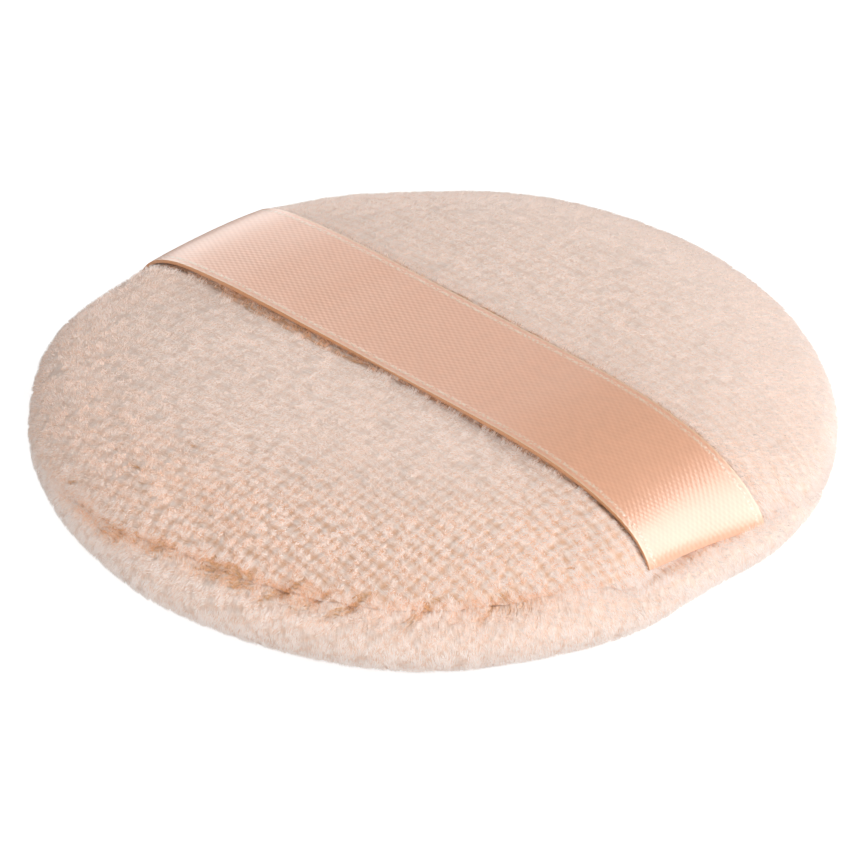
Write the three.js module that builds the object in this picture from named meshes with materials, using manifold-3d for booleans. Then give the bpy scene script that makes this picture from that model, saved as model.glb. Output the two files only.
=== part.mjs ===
// A round powder puff: two velour covers sewn together round the rim, a foam core between them,
// and a satin ribbon across the top whose ends are caught in the rim seam.
// Millimetres, +Z up. The origin is the middle of the face that the puff rests on.
// The ribbon runs along X, and angles round the puff are counted from +X towards +Y.

import * as THREE from "three";
import { mergeGeometries, mergeVertices } from "three/addons/utils/BufferGeometryUtils.js";
import Module from "manifold-3d";

// Covers. Outer sizes are taken to the tips of the pile.
const puffDiameter = 82; // across the lower cover, the widest ring of the puff
const crownHeight = 13.6; // top of the upper cover
const seamHeight = 7.5; // the rim seam above the resting face
const edgeRounding = 7; // from the flat resting face out to the widest ring
const lowerBulgeDrop = 2.6; // widest ring of the lower cover below the seam
const upperBulgeRise = 0.9; // widest ring of the upper cover above the seam
const upperStepBack = 2.1; // how far the upper cover stands inside the lower one
const grooveDepth = 1.3; // seam groove, measured from the upper cover
const crownFlatness = 3; // superellipse power along the radius
const crownFullness = 1.7; // superellipse power up the shoulder
const clothThickness = 2; // knitted ground and pile
const hemThickness = 0.9; // turned-in edge of a cover, pressed by the stitches
const hemBeyondStitch = 2.2; // from the stitch line to the cut edge
const stitchToWall = 1.9; // from the stitch line to the inside of the upper cover
const seamGap = 0.3; // between the two turned-in edges

// Ribbon.
const ribbonWidth = 15;
const ribbonThickness = 0.3;
const rimPull = 1.3; // how far the taut ribbon draws the rim in at each end
const rimPullSpread = 15; // degrees to each side over which that fades

// Threads.
const threadDiameter = 0.3;
const stitchLength = 8.5; // lockstitch round the rim
const stitchHalfLoop = 0.6; // half the length of the loop that a thread makes in its hole
const stitchLegOffset = 0.45; // how far the loop's two legs stand to either side of the line
const stitchLoopDepth = 0.5; // how far the loop reaches past the seam's middle
const turningGapLength = 24; // left open in the seam to turn the covers, then closed by hand
const turningGapAngle = -62; // degrees, middle of that gap
const whipStitchLength = 3.4; // hand stitches that close the gap
const whipReach = 1.6; // radius of the hand stitches round the seam
const whipInset = 0.3; // middle of the hand stitches, in from the seam groove

// Fits.
const clearance = 0.3; // between neighbouring pieces

// Facets.
const turnSegments = 36;
const crownSteps = 8;
const insideSteps = 4;
const bulgeSteps = 3;
const ribbonSteps = 14;
const threadSides = 4;
const whipStepsPerStitch = 8;

// Sizes that follow from those above.
const lowerRadius = puffDiameter / 2;
const faceRadius = lowerRadius - edgeRounding;
const upperRadius = lowerRadius - upperStepBack;
const seamRadius = upperRadius - grooveDepth;
const upperWallRadius = upperRadius - clothThickness;
const lowerWallRadius = lowerRadius - clothThickness;
const stitchRadius = upperWallRadius - stitchToWall;
const hemRadius = stitchRadius - hemBeyondStitch;
const lowerBulgeHeight = seamHeight - lowerBulgeDrop;
const upperBulgeHeight = seamHeight + upperBulgeRise;
const upperHemBottom = seamHeight + seamGap / 2;
const upperHemTop = upperHemBottom + hemThickness;
const lowerHemTop = seamHeight - seamGap / 2;
const lowerHemBottom = lowerHemTop - hemThickness;
const threadRadius = threadDiameter / 2;
const threadRoom = threadDiameter + 2 * clearance;
const halfGapAngle = turningGapLength / 2 / stitchRadius;
const gapMiddle = THREE.MathUtils.degToRad(turningGapAngle);

const wasm = await Module();
wasm.setup();

// Solids

// A closed geometry as a solid that can be cut.
function solidOf(geometry) {
  const bare = geometry.clone();
  bare.deleteAttribute("normal");
  bare.deleteAttribute("uv");
  const merged = mergeVertices(bare, 1e-3);
  return new wasm.Manifold(
    new wasm.Mesh({
      numProp: 3,
      vertProperties: merged.attributes.position.array,
      triVerts: new Uint32Array(merged.index.array),
    }),
  );
}

// A solid as a geometry again.
function geometryOf(solid) {
  const mesh = solid.getMesh();
  const geometry = new THREE.BufferGeometry();
  geometry.setAttribute("position", new THREE.BufferAttribute(mesh.vertProperties, mesh.numProp));
  geometry.setIndex(new THREE.BufferAttribute(mesh.triVerts, 1));
  geometry.computeVertexNormals();
  return geometry;
}

// A geometry less every cutter.
function cut(geometry, cutters) {
  const left = cutters.reduce((solid, cutter) => solid.subtract(solidOf(cutter)), solidOf(geometry));
  return geometryOf(left);
}

// The share of its radius that a ring keeps at an angle, where the ribbon's two ends draw it in.
function drawnIn(angle) {
  const spread = THREE.MathUtils.degToRad(rimPullSpread);
  const fade = [0, Math.PI].reduce((sum, end) => {
    const off = THREE.MathUtils.euclideanModulo(angle - end + Math.PI, 2 * Math.PI) - Math.PI;
    return sum + Math.exp(-((off / spread) ** 2));
  }, 0);
  return 1 - (rimPull / seamRadius) * fade;
}

// A profile of (radius, height) turned about Z and drawn in at the ribbon's ends.
function turned(profile) {
  const geometry = new THREE.LatheGeometry(profile, turnSegments, Math.PI / 2);
  geometry.rotateX(Math.PI / 2);
  const place = geometry.attributes.position;
  for (let i = 0; i < place.count; i += 1) {
    const share = drawnIn(Math.atan2(place.getY(i), place.getX(i)));
    place.setXY(i, place.getX(i) * share, place.getY(i) * share);
  }
  return geometry;
}

// Outlines, as points of (radius, height)

// A quarter ellipse that leaves one point level and arrives at the other upright.
function levelToUpright(from, to) {
  return Array.from({ length: bulgeSteps + 1 }, (_, i) => {
    const angle = ((i / bulgeSteps) * Math.PI) / 2;
    return new THREE.Vector2(
      from.x + (to.x - from.x) * Math.sin(angle),
      from.y + (to.y - from.y) * (1 - Math.cos(angle)),
    );
  });
}

// A shoulder and crown: a quarter superellipse from (radius, base) to (0, top).
// It starts at height `start`, which is the base unless something lies below.
function crownCurve(radius, base, top, steps, start = base) {
  const first = Math.asin(((start - base) / (top - base)) ** (crownFullness / 2));
  return Array.from({ length: steps + 1 }, (_, i) => {
    const angle = first + (i / steps) * (Math.PI / 2 - first);
    const out = i === steps ? 0 : Math.cos(angle) ** (2 / crownFlatness);
    return new THREE.Vector2(radius * out, base + (top - base) * Math.sin(angle) ** (2 / crownFullness));
  });
}

// A path moved sideways to its right by a distance, each point along the mean normal there.
function offsetPath(path, distance) {
  return path.map((point, i) => {
    const before = path[Math.max(i - 1, 0)];
    const after = path[Math.min(i + 1, path.length - 1)];
    const along = after.clone().sub(before).normalize();
    return new THREE.Vector2(point.x + along.y * distance, point.y - along.x * distance);
  });
}

// Covers and core

function upperCover(cutters) {
  const inside = crownCurve(upperWallRadius, upperHemTop, crownHeight - clothThickness, insideSteps);
  const bulge = levelToUpright(
    new THREE.Vector2(seamRadius, upperHemBottom),
    new THREE.Vector2(upperRadius, upperBulgeHeight),
  );
  const crown = crownCurve(upperRadius, upperBulgeHeight, crownHeight, crownSteps);
  const hem = [new THREE.Vector2(hemRadius, upperHemTop), new THREE.Vector2(hemRadius, upperHemBottom)];
  return cut(turned([...inside.reverse(), ...hem, ...bulge, ...crown.slice(1)]), cutters);
}

function lowerCover(cutters) {
  const widest = new THREE.Vector2(lowerRadius, lowerBulgeHeight);
  const widestInside = new THREE.Vector2(lowerWallRadius, lowerBulgeHeight);
  const edge = levelToUpright(new THREE.Vector2(faceRadius, 0), widest);
  const bulge = levelToUpright(new THREE.Vector2(seamRadius, lowerHemTop), widest);
  const hem = [new THREE.Vector2(hemRadius, lowerHemTop), new THREE.Vector2(hemRadius, lowerHemBottom)];
  const bulgeInside = levelToUpright(new THREE.Vector2(upperWallRadius, lowerHemBottom), widestInside);
  const edgeInside = levelToUpright(new THREE.Vector2(faceRadius, clothThickness), widestInside);
  const profile = [
    new THREE.Vector2(0, 0),
    ...edge,
    ...bulge.reverse().slice(1),
    ...hem,
    ...bulgeInside,
    ...edgeInside.reverse().slice(1),
    new THREE.Vector2(0, clothThickness),
  ];
  return cut(turned(profile), cutters);
}

// The foam fills the covers, and its edge is pressed into a groove by the turned-in edges and their stitches.
function foamCore() {
  const bottom = clothThickness + clearance;
  const grooveLow = lowerHemBottom - threadRoom;
  const grooveHigh = upperHemTop + threadRoom;
  const edge = levelToUpright(
    new THREE.Vector2(faceRadius, bottom),
    new THREE.Vector2(lowerWallRadius - clearance, lowerBulgeHeight),
  );
  const crown = crownCurve(
    upperWallRadius - clearance,
    upperHemTop,
    crownHeight - clothThickness - clearance,
    insideSteps,
    grooveHigh,
  );
  return turned([
    new THREE.Vector2(0, bottom),
    ...edge,
    new THREE.Vector2(upperWallRadius - clearance, grooveLow),
    new THREE.Vector2(hemRadius - clearance, grooveLow),
    new THREE.Vector2(hemRadius - clearance, grooveHigh),
    ...crown,
  ]);
}

// Ribbon

// A strip of cloth that follows a path in the XZ plane, its middle on the path and its width along Y.
function strip(path, thickness, width) {
  const outline = [...offsetPath(path, thickness / 2), ...offsetPath(path, -thickness / 2).reverse()];
  const geometry = new THREE.ExtrudeGeometry(new THREE.Shape(outline), { depth: width, bevelEnabled: false });
  return geometry.translate(0, 0, -width / 2).rotateX(Math.PI / 2);
}

// The ribbon's path at the rim: between the turned-in edges, then out round the upper cover's bulge.
// `past` is how far it reaches inwards past the cut edges.
function tabPath(past) {
  const outside = clearance + ribbonThickness / 2;
  const bulge = levelToUpright(
    new THREE.Vector2(seamRadius, upperHemBottom),
    new THREE.Vector2(upperRadius, upperBulgeHeight),
  );
  const round = offsetPath(bulge, outside).slice(2);
  const path = [
    new THREE.Vector2(hemRadius - past, seamHeight),
    new THREE.Vector2(seamRadius, seamHeight),
    ...round,
  ];
  return path.map((point) => point.setX(point.x * drawnIn(0)));
}

// The ribbon's path over the top, from just above one sewn end to just above the other.
function bandPath() {
  const crown = crownCurve(upperRadius, upperBulgeHeight, crownHeight, ribbonSteps);
  const half = offsetPath(crown, clearance + ribbonThickness / 2);
  half[0].y += clearance;
  half[half.length - 1].setX(0);
  half.forEach((point) => point.setX(point.x * drawnIn(0)));
  const far = half.slice(0, -1).map((point) => new THREE.Vector2(-point.x, point.y));
  return [...half, ...far.reverse()];
}

const ribbonBand = () => strip(bandPath(), ribbonThickness, ribbonWidth);
const ribbonTab = () => strip(tabPath(0), ribbonThickness, ribbonWidth);
const ribbonTabRoom = () =>
  strip(tabPath(clearance), ribbonThickness + 2 * clearance, ribbonWidth + 2 * clearance);

// Threads

// A point given round the puff, drawn in with the rim.
function roundPoint(radius, angle, height) {
  const kept = radius * drawnIn(angle);
  return new THREE.Vector3(kept * Math.cos(angle), kept * Math.sin(angle), height);
}

// A closed tube along points that run round the puff, with flat ends.
function threadTube(points, radius) {
  const positions = [];
  const index = [];
  points.forEach((point, i) => {
    const along = points[Math.min(i + 1, points.length - 1)].clone().sub(points[Math.max(i - 1, 0)]).normalize();
    const outward = new THREE.Vector3(point.x, point.y, 0).normalize();
    const side = along.clone().cross(outward).normalize();
    const up = side.clone().cross(along);
    for (let k = 0; k < threadSides; k += 1) {
      const turn = ((k + 0.5) / threadSides) * 2 * Math.PI;
      const off = side.clone().multiplyScalar(Math.sin(turn)).addScaledVector(up, Math.cos(turn));
      positions.push(...point.clone().addScaledVector(off, radius).toArray());
    }
  });
  for (let i = 0; i + 1 < points.length; i += 1) {
    for (let k = 0; k < threadSides; k += 1) {
      const [a, b] = [i * threadSides + k, i * threadSides + ((k + 1) % threadSides)];
      const [c, d] = [a + threadSides, b + threadSides];
      index.push(a, b, c, b, d, c);
    }
  }
  const last = (points.length - 1) * threadSides;
  for (let k = 1; k + 1 < threadSides; k += 1) {
    index.push(0, k + 1, k, last, last + k, last + k + 1);
  }
  const geometry = new THREE.BufferGeometry();
  geometry.setAttribute("position", new THREE.Float32BufferAttribute(positions, 3));
  geometry.setIndex(index);
  geometry.computeVertexNormals();
  return geometry;
}

// The angles of the lockstitches, which go round the rim from one end of the turning gap to the other.
function stitchAngles() {
  const length = (2 * Math.PI - 2 * halfGapAngle) * stitchRadius;
  const count = Math.floor(length / stitchLength);
  const step = (2 * Math.PI - 2 * halfGapAngle) / count;
  return Array.from({ length: count }, (_, i) => gapMiddle + halfGapAngle + (i + 0.5) * step);
}

// One of the two threads of the lockstitch. It runs on its own side of the turned-in edges, and in each hole
// makes a loop past the seam's middle that hooks round the loop of the other thread.
// `side` is 1 for the needle thread, above, and -1 for the bobbin thread, below.
function lockstitchThread(side) {
  const surface = side > 0 ? upperHemTop : lowerHemBottom;
  const run = surface + side * (clearance + threadRadius);
  const leg = seamHeight + (side * stitchLoopDepth) / 2;
  const turn = stitchHalfLoop / stitchRadius;
  const off = side * stitchLegOffset;
  const points = stitchAngles().flatMap((angle) => [
    roundPoint(stitchRadius + off, angle - turn, run),
    roundPoint(stitchRadius + off, angle - turn, leg),
    roundPoint(stitchRadius, angle, seamHeight - side * stitchLoopDepth),
    roundPoint(stitchRadius - off, angle + turn, leg),
    roundPoint(stitchRadius - off, angle + turn, run),
  ]);
  return threadTube(points, threadRadius);
}

// The needle's holes through both turned-in edges, as one cutter.
function stitchHoles() {
  const length = 2 * (stitchHalfLoop + threadRadius + clearance);
  const width = 2 * (stitchLegOffset + threadRadius + clearance);
  const height = 2 * (upperHemTop - seamHeight + clearance);
  const holes = stitchAngles().map((angle) => {
    const place = roundPoint(stitchRadius, angle, seamHeight);
    return new THREE.BoxGeometry(width, length, height).rotateZ(angle).translate(place.x, place.y, place.z);
  });
  return mergeGeometries(holes);
}

// The hand stitches that close the turning gap: a helix round the seam, in and out of both covers.
function whipStitches(radius) {
  const count = Math.round(turningGapLength / whipStitchLength) - 1;
  const steps = count * whipStepsPerStitch;
  const span = (count * whipStitchLength) / stitchRadius;
  const points = Array.from({ length: steps + 1 }, (_, i) => {
    const share = i / steps;
    const turn = (count * share + 0.5) * 2 * Math.PI;
    const out = seamRadius - whipInset + whipReach * Math.cos(turn);
    return roundPoint(out, gapMiddle + (share - 0.5) * span, seamHeight + whipReach * Math.sin(turn));
  });
  return threadTube(points, radius);
}

// The puff

const velour = new THREE.MeshStandardMaterial({ color: "#efd9cb", roughness: 0.95, metalness: 0 });
const foam = new THREE.MeshStandardMaterial({ color: "#f4ecd9", roughness: 0.9, metalness: 0 });
const satin = new THREE.MeshStandardMaterial({ color: "#e3b095", roughness: 0.35, metalness: 0 });
const thread = new THREE.MeshStandardMaterial({ color: "#e9c3ab", roughness: 0.7, metalness: 0 });

const puff = new THREE.Group();

function add(name, geometry, material) {
  const mesh = new THREE.Mesh(geometry, material);
  mesh.name = name;
  puff.add(mesh);
}

const farTurn = Math.PI; // the ribbon's far end, half a turn from the near one
const holes = stitchHoles();
const seamCutters = [
  holes,
  ribbonTabRoom(),
  ribbonTabRoom().rotateZ(farTurn),
  whipStitches(threadRadius + clearance),
];

add("upper_cover", upperCover(seamCutters), velour);
add("lower_cover", lowerCover(seamCutters), velour);
add("foam_core", foamCore(), foam);
add("ribbon_band", ribbonBand(), satin);
add("ribbon_tab_near", cut(ribbonTab(), [holes]), satin);
add("ribbon_tab_far", cut(ribbonTab().rotateZ(farTurn), [holes]), satin);
add("needle_thread", lockstitchThread(1), thread);
add("bobbin_thread", lockstitchThread(-1), thread);
add("closing_thread", whipStitches(threadRadius), thread);

export default puff;
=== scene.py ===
"""Looks of a round velour powder puff with a satin ribbon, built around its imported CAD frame.

Metres, in the frame's own axes: +Z up, the ribbon along X, and the resting face at z = 0. Angles
round the puff are counted from +X towards +Y. The cloth of each cover is a smooth ground, and its
pile is grown on that ground fibre by fibre, in the rows of tufts that the knitted cloth has.
"""

from __future__ import annotations

import logging
import math
from collections.abc import Callable
from dataclasses import dataclass, field
from enum import Enum

import bpy
import numpy as np
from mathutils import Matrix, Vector

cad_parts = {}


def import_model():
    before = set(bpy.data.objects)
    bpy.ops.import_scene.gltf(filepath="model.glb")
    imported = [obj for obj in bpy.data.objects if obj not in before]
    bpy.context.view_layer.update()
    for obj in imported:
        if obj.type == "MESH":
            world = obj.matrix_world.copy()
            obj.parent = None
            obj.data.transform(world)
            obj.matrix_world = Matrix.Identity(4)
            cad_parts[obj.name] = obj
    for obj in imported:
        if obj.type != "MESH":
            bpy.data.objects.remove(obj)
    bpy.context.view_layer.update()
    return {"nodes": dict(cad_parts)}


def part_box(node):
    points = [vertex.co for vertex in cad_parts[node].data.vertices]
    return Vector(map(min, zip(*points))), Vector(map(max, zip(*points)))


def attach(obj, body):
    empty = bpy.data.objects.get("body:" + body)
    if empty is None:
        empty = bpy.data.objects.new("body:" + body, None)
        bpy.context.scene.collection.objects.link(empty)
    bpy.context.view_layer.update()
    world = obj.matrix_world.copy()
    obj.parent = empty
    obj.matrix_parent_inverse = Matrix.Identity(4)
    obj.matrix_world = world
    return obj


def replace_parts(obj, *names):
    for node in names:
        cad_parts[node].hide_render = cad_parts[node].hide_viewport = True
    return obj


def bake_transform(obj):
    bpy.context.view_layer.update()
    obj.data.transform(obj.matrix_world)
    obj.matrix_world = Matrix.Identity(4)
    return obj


MM = 0.001
FULL_TURN = 2 * math.pi
ROW_PITCH = 1.3 * MM
TUFT_PITCH = 1.0 * MM
FIBRE_MAP = "OFBake"
CLOTH_MAP = "cloth"
BARE = "bare"
OPEN = "open"

Triples = tuple[tuple[float, float, float], ...]

log = logging.getLogger("powder_puff")


class Side(Enum):
    """The two covers of the puff, with the way that their outside faces on the middle."""

    UPPER = 1
    LOWER = -1


def smooth_step(low: float, high: float, value: np.ndarray) -> np.ndarray:
    """Rises smoothly from 0 at low to 1 at high: 3t^2 - 2t^3 of the share t of the way.

    Args:
        low: value at which it starts.
        high: value at which it ends.
        value: numbers to grade.

    Returns:
        One number from 0 to 1 for each value.
    """
    t = np.clip((value - low) / (high - low), 0.0, 1.0)
    return t * t * (3.0 - 2.0 * t)


def unit(vectors: np.ndarray) -> np.ndarray:
    """Each vector divided by its length."""
    return vectors / np.maximum(np.linalg.norm(vectors, axis=-1, keepdims=True), 1e-12)


def angle_off(angle: np.ndarray, centre: np.ndarray | float) -> np.ndarray:
    """How far each angle lies from a centre, from -pi to pi."""
    return (angle - centre + math.pi) % FULL_TURN - math.pi


def round_angles(count: int) -> np.ndarray:
    """Angles evenly spaced round a full turn, from 0."""
    return np.arange(count) * (FULL_TURN / count)


def bell(off: np.ndarray) -> np.ndarray:
    """A bell curve: e to the power of minus the square."""
    return np.exp(-(off**2))


def waves(angle: np.ndarray, parts: Triples) -> np.ndarray:
    """Sum of sine waves round the puff, each with its amount, its count in a turn and its phase."""
    return sum(amount * np.sin(count * angle + phase) for amount, count, phase in parts)


def arc_lengths(path: np.ndarray) -> np.ndarray:
    """Length along a path up to each of its points."""
    steps = np.linalg.norm(np.diff(path, axis=0), axis=1)
    return np.concatenate([[0.0], np.cumsum(steps)])


def spaced(path: np.ndarray, count: int) -> np.ndarray:
    """A path with points at even lengths along it.

    Args:
        path: points of the path, in order.
        count: how many points to return.

    Returns:
        Points on straight pieces between the given ones, evenly spaced by length.
    """
    along = arc_lengths(path)
    wanted = np.linspace(0.0, along[-1], count)
    return np.stack([np.interp(wanted, along, path[:, k]) for k in range(path.shape[1])], axis=1)


def soft_noise(x: np.ndarray, y: np.ndarray, pitch: float, seed: int) -> np.ndarray:
    """Smooth random field: random values on a square lattice, joined by smooth steps.

    Args:
        x: first coordinate.
        y: second coordinate.
        pitch: lattice spacing.
        seed: seed of the random values.

    Returns:
        Values from -1 to 1.
    """
    side = 128
    values = np.random.default_rng(seed).uniform(-1.0, 1.0, (side, side))
    i, j = np.floor(x / pitch).astype(int), np.floor(y / pitch).astype(int)
    u, v = smooth_step(0.0, 1.0, x / pitch - i), smooth_step(0.0, 1.0, y / pitch - j)
    near = values[i % side, j % side] * (1 - u) + values[(i + 1) % side, j % side] * u
    far = values[i % side, (j + 1) % side] * (1 - u) + values[(i + 1) % side, (j + 1) % side] * u
    return near * (1 - v) + far * v


def new_mesh(
    name: str,
    points: np.ndarray,
    faces: list[np.ndarray],
    maps: dict[str, np.ndarray] | None = None,
    smooth: bool = True,
) -> bpy.types.Object:
    """Puts arrays into a new mesh object in the scene.

    Args:
        name: name of the object and its mesh.
        points: places of the vertices, one row each.
        faces: arrays of vertex numbers, one array for each number of corners.
        maps: UV maps by name, one row for each vertex.
        smooth: whether the faces are shaded smooth.

    Returns:
        The new object, at the origin.
    """
    mesh = bpy.data.meshes.new(name)
    corners = np.concatenate([f.reshape(-1) for f in faces]).astype(np.int32)
    counts = np.concatenate([np.full(len(f), f.shape[1]) for f in faces])
    starts = np.concatenate([[0], np.cumsum(counts)[:-1]]).astype(np.int32)
    mesh.vertices.add(len(points))
    mesh.vertices.foreach_set("co", points.astype(np.float32).reshape(-1))
    mesh.loops.add(len(corners))
    mesh.loops.foreach_set("vertex_index", corners)
    mesh.polygons.add(len(starts))
    mesh.polygons.foreach_set("loop_start", starts)
    for map_name, places in (maps or {}).items():
        layer = mesh.uv_layers.new(name=map_name)
        layer.uv.foreach_set("vector", places[corners].astype(np.float32).reshape(-1))
    mesh.update(calc_edges=True)
    mesh.polygons.foreach_set("use_smooth", np.full(len(starts), smooth))
    piece = bpy.data.objects.new(name, mesh)
    bpy.context.scene.collection.objects.link(piece)
    return piece


def grid_faces(rows: int, columns: int, wrapped: bool) -> np.ndarray:
    """Quads between the points of a grid that are stored row by row.

    Args:
        rows: number of rows.
        columns: number of points in a row.
        wrapped: whether the last column joins the first.

    Returns:
        Four vertex numbers for each quad.
    """
    i, j = np.meshgrid(np.arange(rows - 1), np.arange(columns if wrapped else columns - 1), indexing="ij")
    after = (j + 1) % columns
    quads = [i * columns + j, (i + 1) * columns + j, (i + 1) * columns + after, i * columns + after]
    return np.stack(quads, axis=-1).reshape(-1, 4)


def closed_rings(rings: np.ndarray, poles: np.ndarray) -> tuple[np.ndarray, list[np.ndarray]]:
    """A closed surface of rings, with a point before the first ring and one after the last.

    Args:
        rings: points of the rings, one row for each ring.
        poles: the two points.

    Returns:
        The points, with the poles last, and the faces: quads between rings and triangles at the ends.
    """
    rows, columns = rings.shape[:2]
    column = np.arange(columns)
    after = (column + 1) % columns
    first, last = rows * columns, (rows - 1) * columns
    start = np.stack([np.full(columns, first), column, after], axis=1)
    end = np.stack([np.full(columns, first + 1), last + after, last + column], axis=1)
    faces = [grid_faces(rows, columns, True), np.concatenate([start, end])]
    return np.concatenate([rings.reshape(-1, 3), poles]), faces


def strip_faces(rows: int, columns: int) -> np.ndarray:
    """Quads of a closed strip: a grid, the same grid below it, and the edge round both.

    Args:
        rows: number of rows in each grid.
        columns: number of points in a row.

    Returns:
        Four vertex numbers for each quad.
    """
    top, below = grid_faces(rows, columns, False), rows * columns
    rim = np.concatenate([
        np.arange(columns),
        np.arange(1, rows) * columns + columns - 1,
        (rows - 1) * columns + np.arange(columns - 2, -1, -1),
        np.arange(rows - 2, 0, -1) * columns,
    ])
    after = np.roll(rim, -1)
    edge = np.stack([rim, after, after + below, rim + below], axis=1)
    return np.concatenate([top, top[:, ::-1] + below, edge])


def flipped(faces: list[np.ndarray]) -> list[np.ndarray]:
    """The same faces, turned to the other side."""
    return [face[:, ::-1] for face in faces]


def tube(path: np.ndarray, radius: float, sides: int) -> tuple[np.ndarray, list[np.ndarray]]:
    """A round tube along a path with a point at each end.

    Args:
        path: points along the middle of the tube.
        radius: its radius.
        sides: how many corners its section has.

    Returns:
        The tube's points and its faces.
    """
    along = unit(np.gradient(path, axis=0))
    across = unit(np.cross(along, np.array([0.31, 0.17, 0.93])))
    lift = np.cross(along, across)
    turn = round_angles(sides)[:, None]
    around = across[:, None] * np.cos(turn) + lift[:, None] * np.sin(turn)
    poles = np.concatenate([path[:1] - along[:1] * radius, path[-1:] + along[-1:] * radius])
    points, faces = closed_rings(path[:, None] + radius * around, poles)
    return points, flipped(faces)


@dataclass(frozen=True)
class PuffShape:
    """The puff's sizes. Those that the frame fixes are read from it.

    The outside of each cover, to the tips of the pile, is a profile of radius and height carried
    round the puff. It changes round the puff between four profiles: the pile of both covers closes
    over a seam that lies low, or the seam lies higher in an open crease, or one of the ribbon's ends
    squares the shoulder. A swell is given as its angle and spread in degrees and its height in mm.
    """

    lower_radius: float
    upper_radius: float
    seam_height: float
    crown_height: float
    ribbon_half_width: float
    edge_rounding: float = 7.0 * MM
    side_inset: float = 0.2 * MM
    widest_height: float = 4.9 * MM
    crease_inset: float = 1.1 * MM
    closed_seam_height: float = 5.7 * MM
    near_pull: float = 1.9 * MM
    far_pull: float = 0.7 * MM
    pull_spread: float = math.radians(13)
    ribbon_shift: float = 0.75 * MM
    swells: Triples = ((-49, 14, 0.7), (112, 12, 0.5), (205, 16, 0.6), (-112, 14, 0.35))
    unevenness: float = 0.08 * MM
    slow_waves: Triples = ((1.0, 5, 0.7), (0.7, 8, 2.1), (0.5, 13, 4))
    ragged: float = 0.07 * MM
    quick_waves: Triples = ((1.0, 37, 1.0), (0.9, 61, 2.0), (0.8, 97, 0.5))

    @classmethod
    def from_frame(cls) -> PuffShape:
        """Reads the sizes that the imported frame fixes.

        Returns:
            The puff's sizes.
        """
        _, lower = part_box("lower_cover")
        upper_low, upper_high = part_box("upper_cover")
        _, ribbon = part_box("ribbon_band")
        return cls(
            lower_radius=lower.y,
            upper_radius=upper_high.y,
            seam_height=(lower.z + upper_low.z) / 2,
            crown_height=upper_high.z,
            ribbon_half_width=ribbon.y,
        )

    def kept(self, angle: np.ndarray) -> np.ndarray:
        """The share of its radius that the rim keeps at an angle.

        It is 1, less a bell curve at each end of the ribbon, plus bell curves for swells and dents of
        the hand-made rim and a few slow waves.

        Args:
            angle: angles round the puff.

        Returns:
            The share for each angle.
        """
        off = self.unevenness * waves(angle, self.slow_waves)
        for end, pull in ((0.0, self.near_pull), (math.pi, self.far_pull)):
            off = off - pull * bell(angle_off(angle, end) / self.pull_spread)
        for centre, spread, amount in self.swells:
            off = off + amount * MM * bell(np.degrees(angle_off(angle, math.radians(centre))) / spread)
        return 1.0 + off / self.upper_radius

    def creased(self, angle: np.ndarray) -> np.ndarray:
        """How far the rim seam opens into a crease at an angle, from 0 to 1.

        Args:
            angle: angles round the puff.

        Returns:
            1 round the front, less towards the ribbon's near end, and 0 elsewhere.
        """
        turn = np.degrees(angle_off(angle, 0.0))
        left = 0.5 * smooth_step(-130, -106, turn) + 0.5 * smooth_step(-104, -86, turn)
        return left * smooth_step(24, -14, turn)

    def dome(
        self, radius: float, base: float, flat: float, full: float, low: float, high: float
    ) -> np.ndarray:
        """A stretch of a quarter superellipse, from its top down.

        Its radius is R cos(a)^(2/n) and its height is h sin(a)^(2/m) above the base.

        Args:
            radius: greatest radius R.
            base: height where it is widest; h is the crown's height above it.
            flat: exponent n.
            full: exponent m.
            low: height where the stretch ends.
            high: height where it begins.

        Returns:
            Points of (radius, height).
        """
        rise = self.crown_height - base
        ends = [math.asin(((level - base) / rise) ** (full / 2)) for level in (high, low)]
        turn = np.linspace(*ends, 400)
        out = np.clip(np.cos(turn), 0.0, 1.0) ** (2 / flat)
        return np.stack([radius * out, base + rise * np.sin(turn) ** (2 / full)], axis=1)

    def sole(self) -> np.ndarray:
        """Profile of the resting face: flat, then a quarter ellipse out to the widest ring.

        Returns:
            Points of (radius, height) from the middle out.
        """
        radius = self.lower_radius - self.side_inset
        face = radius - self.edge_rounding
        flat = np.stack([np.linspace(0.0, face, 50), np.zeros(50)], axis=1)
        turn = np.linspace(0.0, math.pi / 2, 80)[1:]
        edge = [face + self.edge_rounding * np.sin(turn), self.widest_height * (1 - np.cos(turn))]
        return np.concatenate([flat, np.stack(edge, axis=1)])

    def lip(self, seam: np.ndarray) -> np.ndarray:
        """Profile from the widest ring in to a creased seam: the first 60 degrees of an ellipse.

        Args:
            seam: radius and height of the seam.

        Returns:
            Points of (radius, height) after the widest ring.
        """
        wide = self.lower_radius - self.side_inset
        most = math.pi / 3
        turn = np.linspace(0.0, most, 80)[1:]
        inwards = (wide - seam[0]) / (1 - math.cos(most))
        upwards = (seam[1] - self.widest_height) / math.sin(most)
        line = [wide - inwards * (1 - np.cos(turn)), self.widest_height + upwards * np.sin(turn)]
        return np.stack(line, axis=1)

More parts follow.
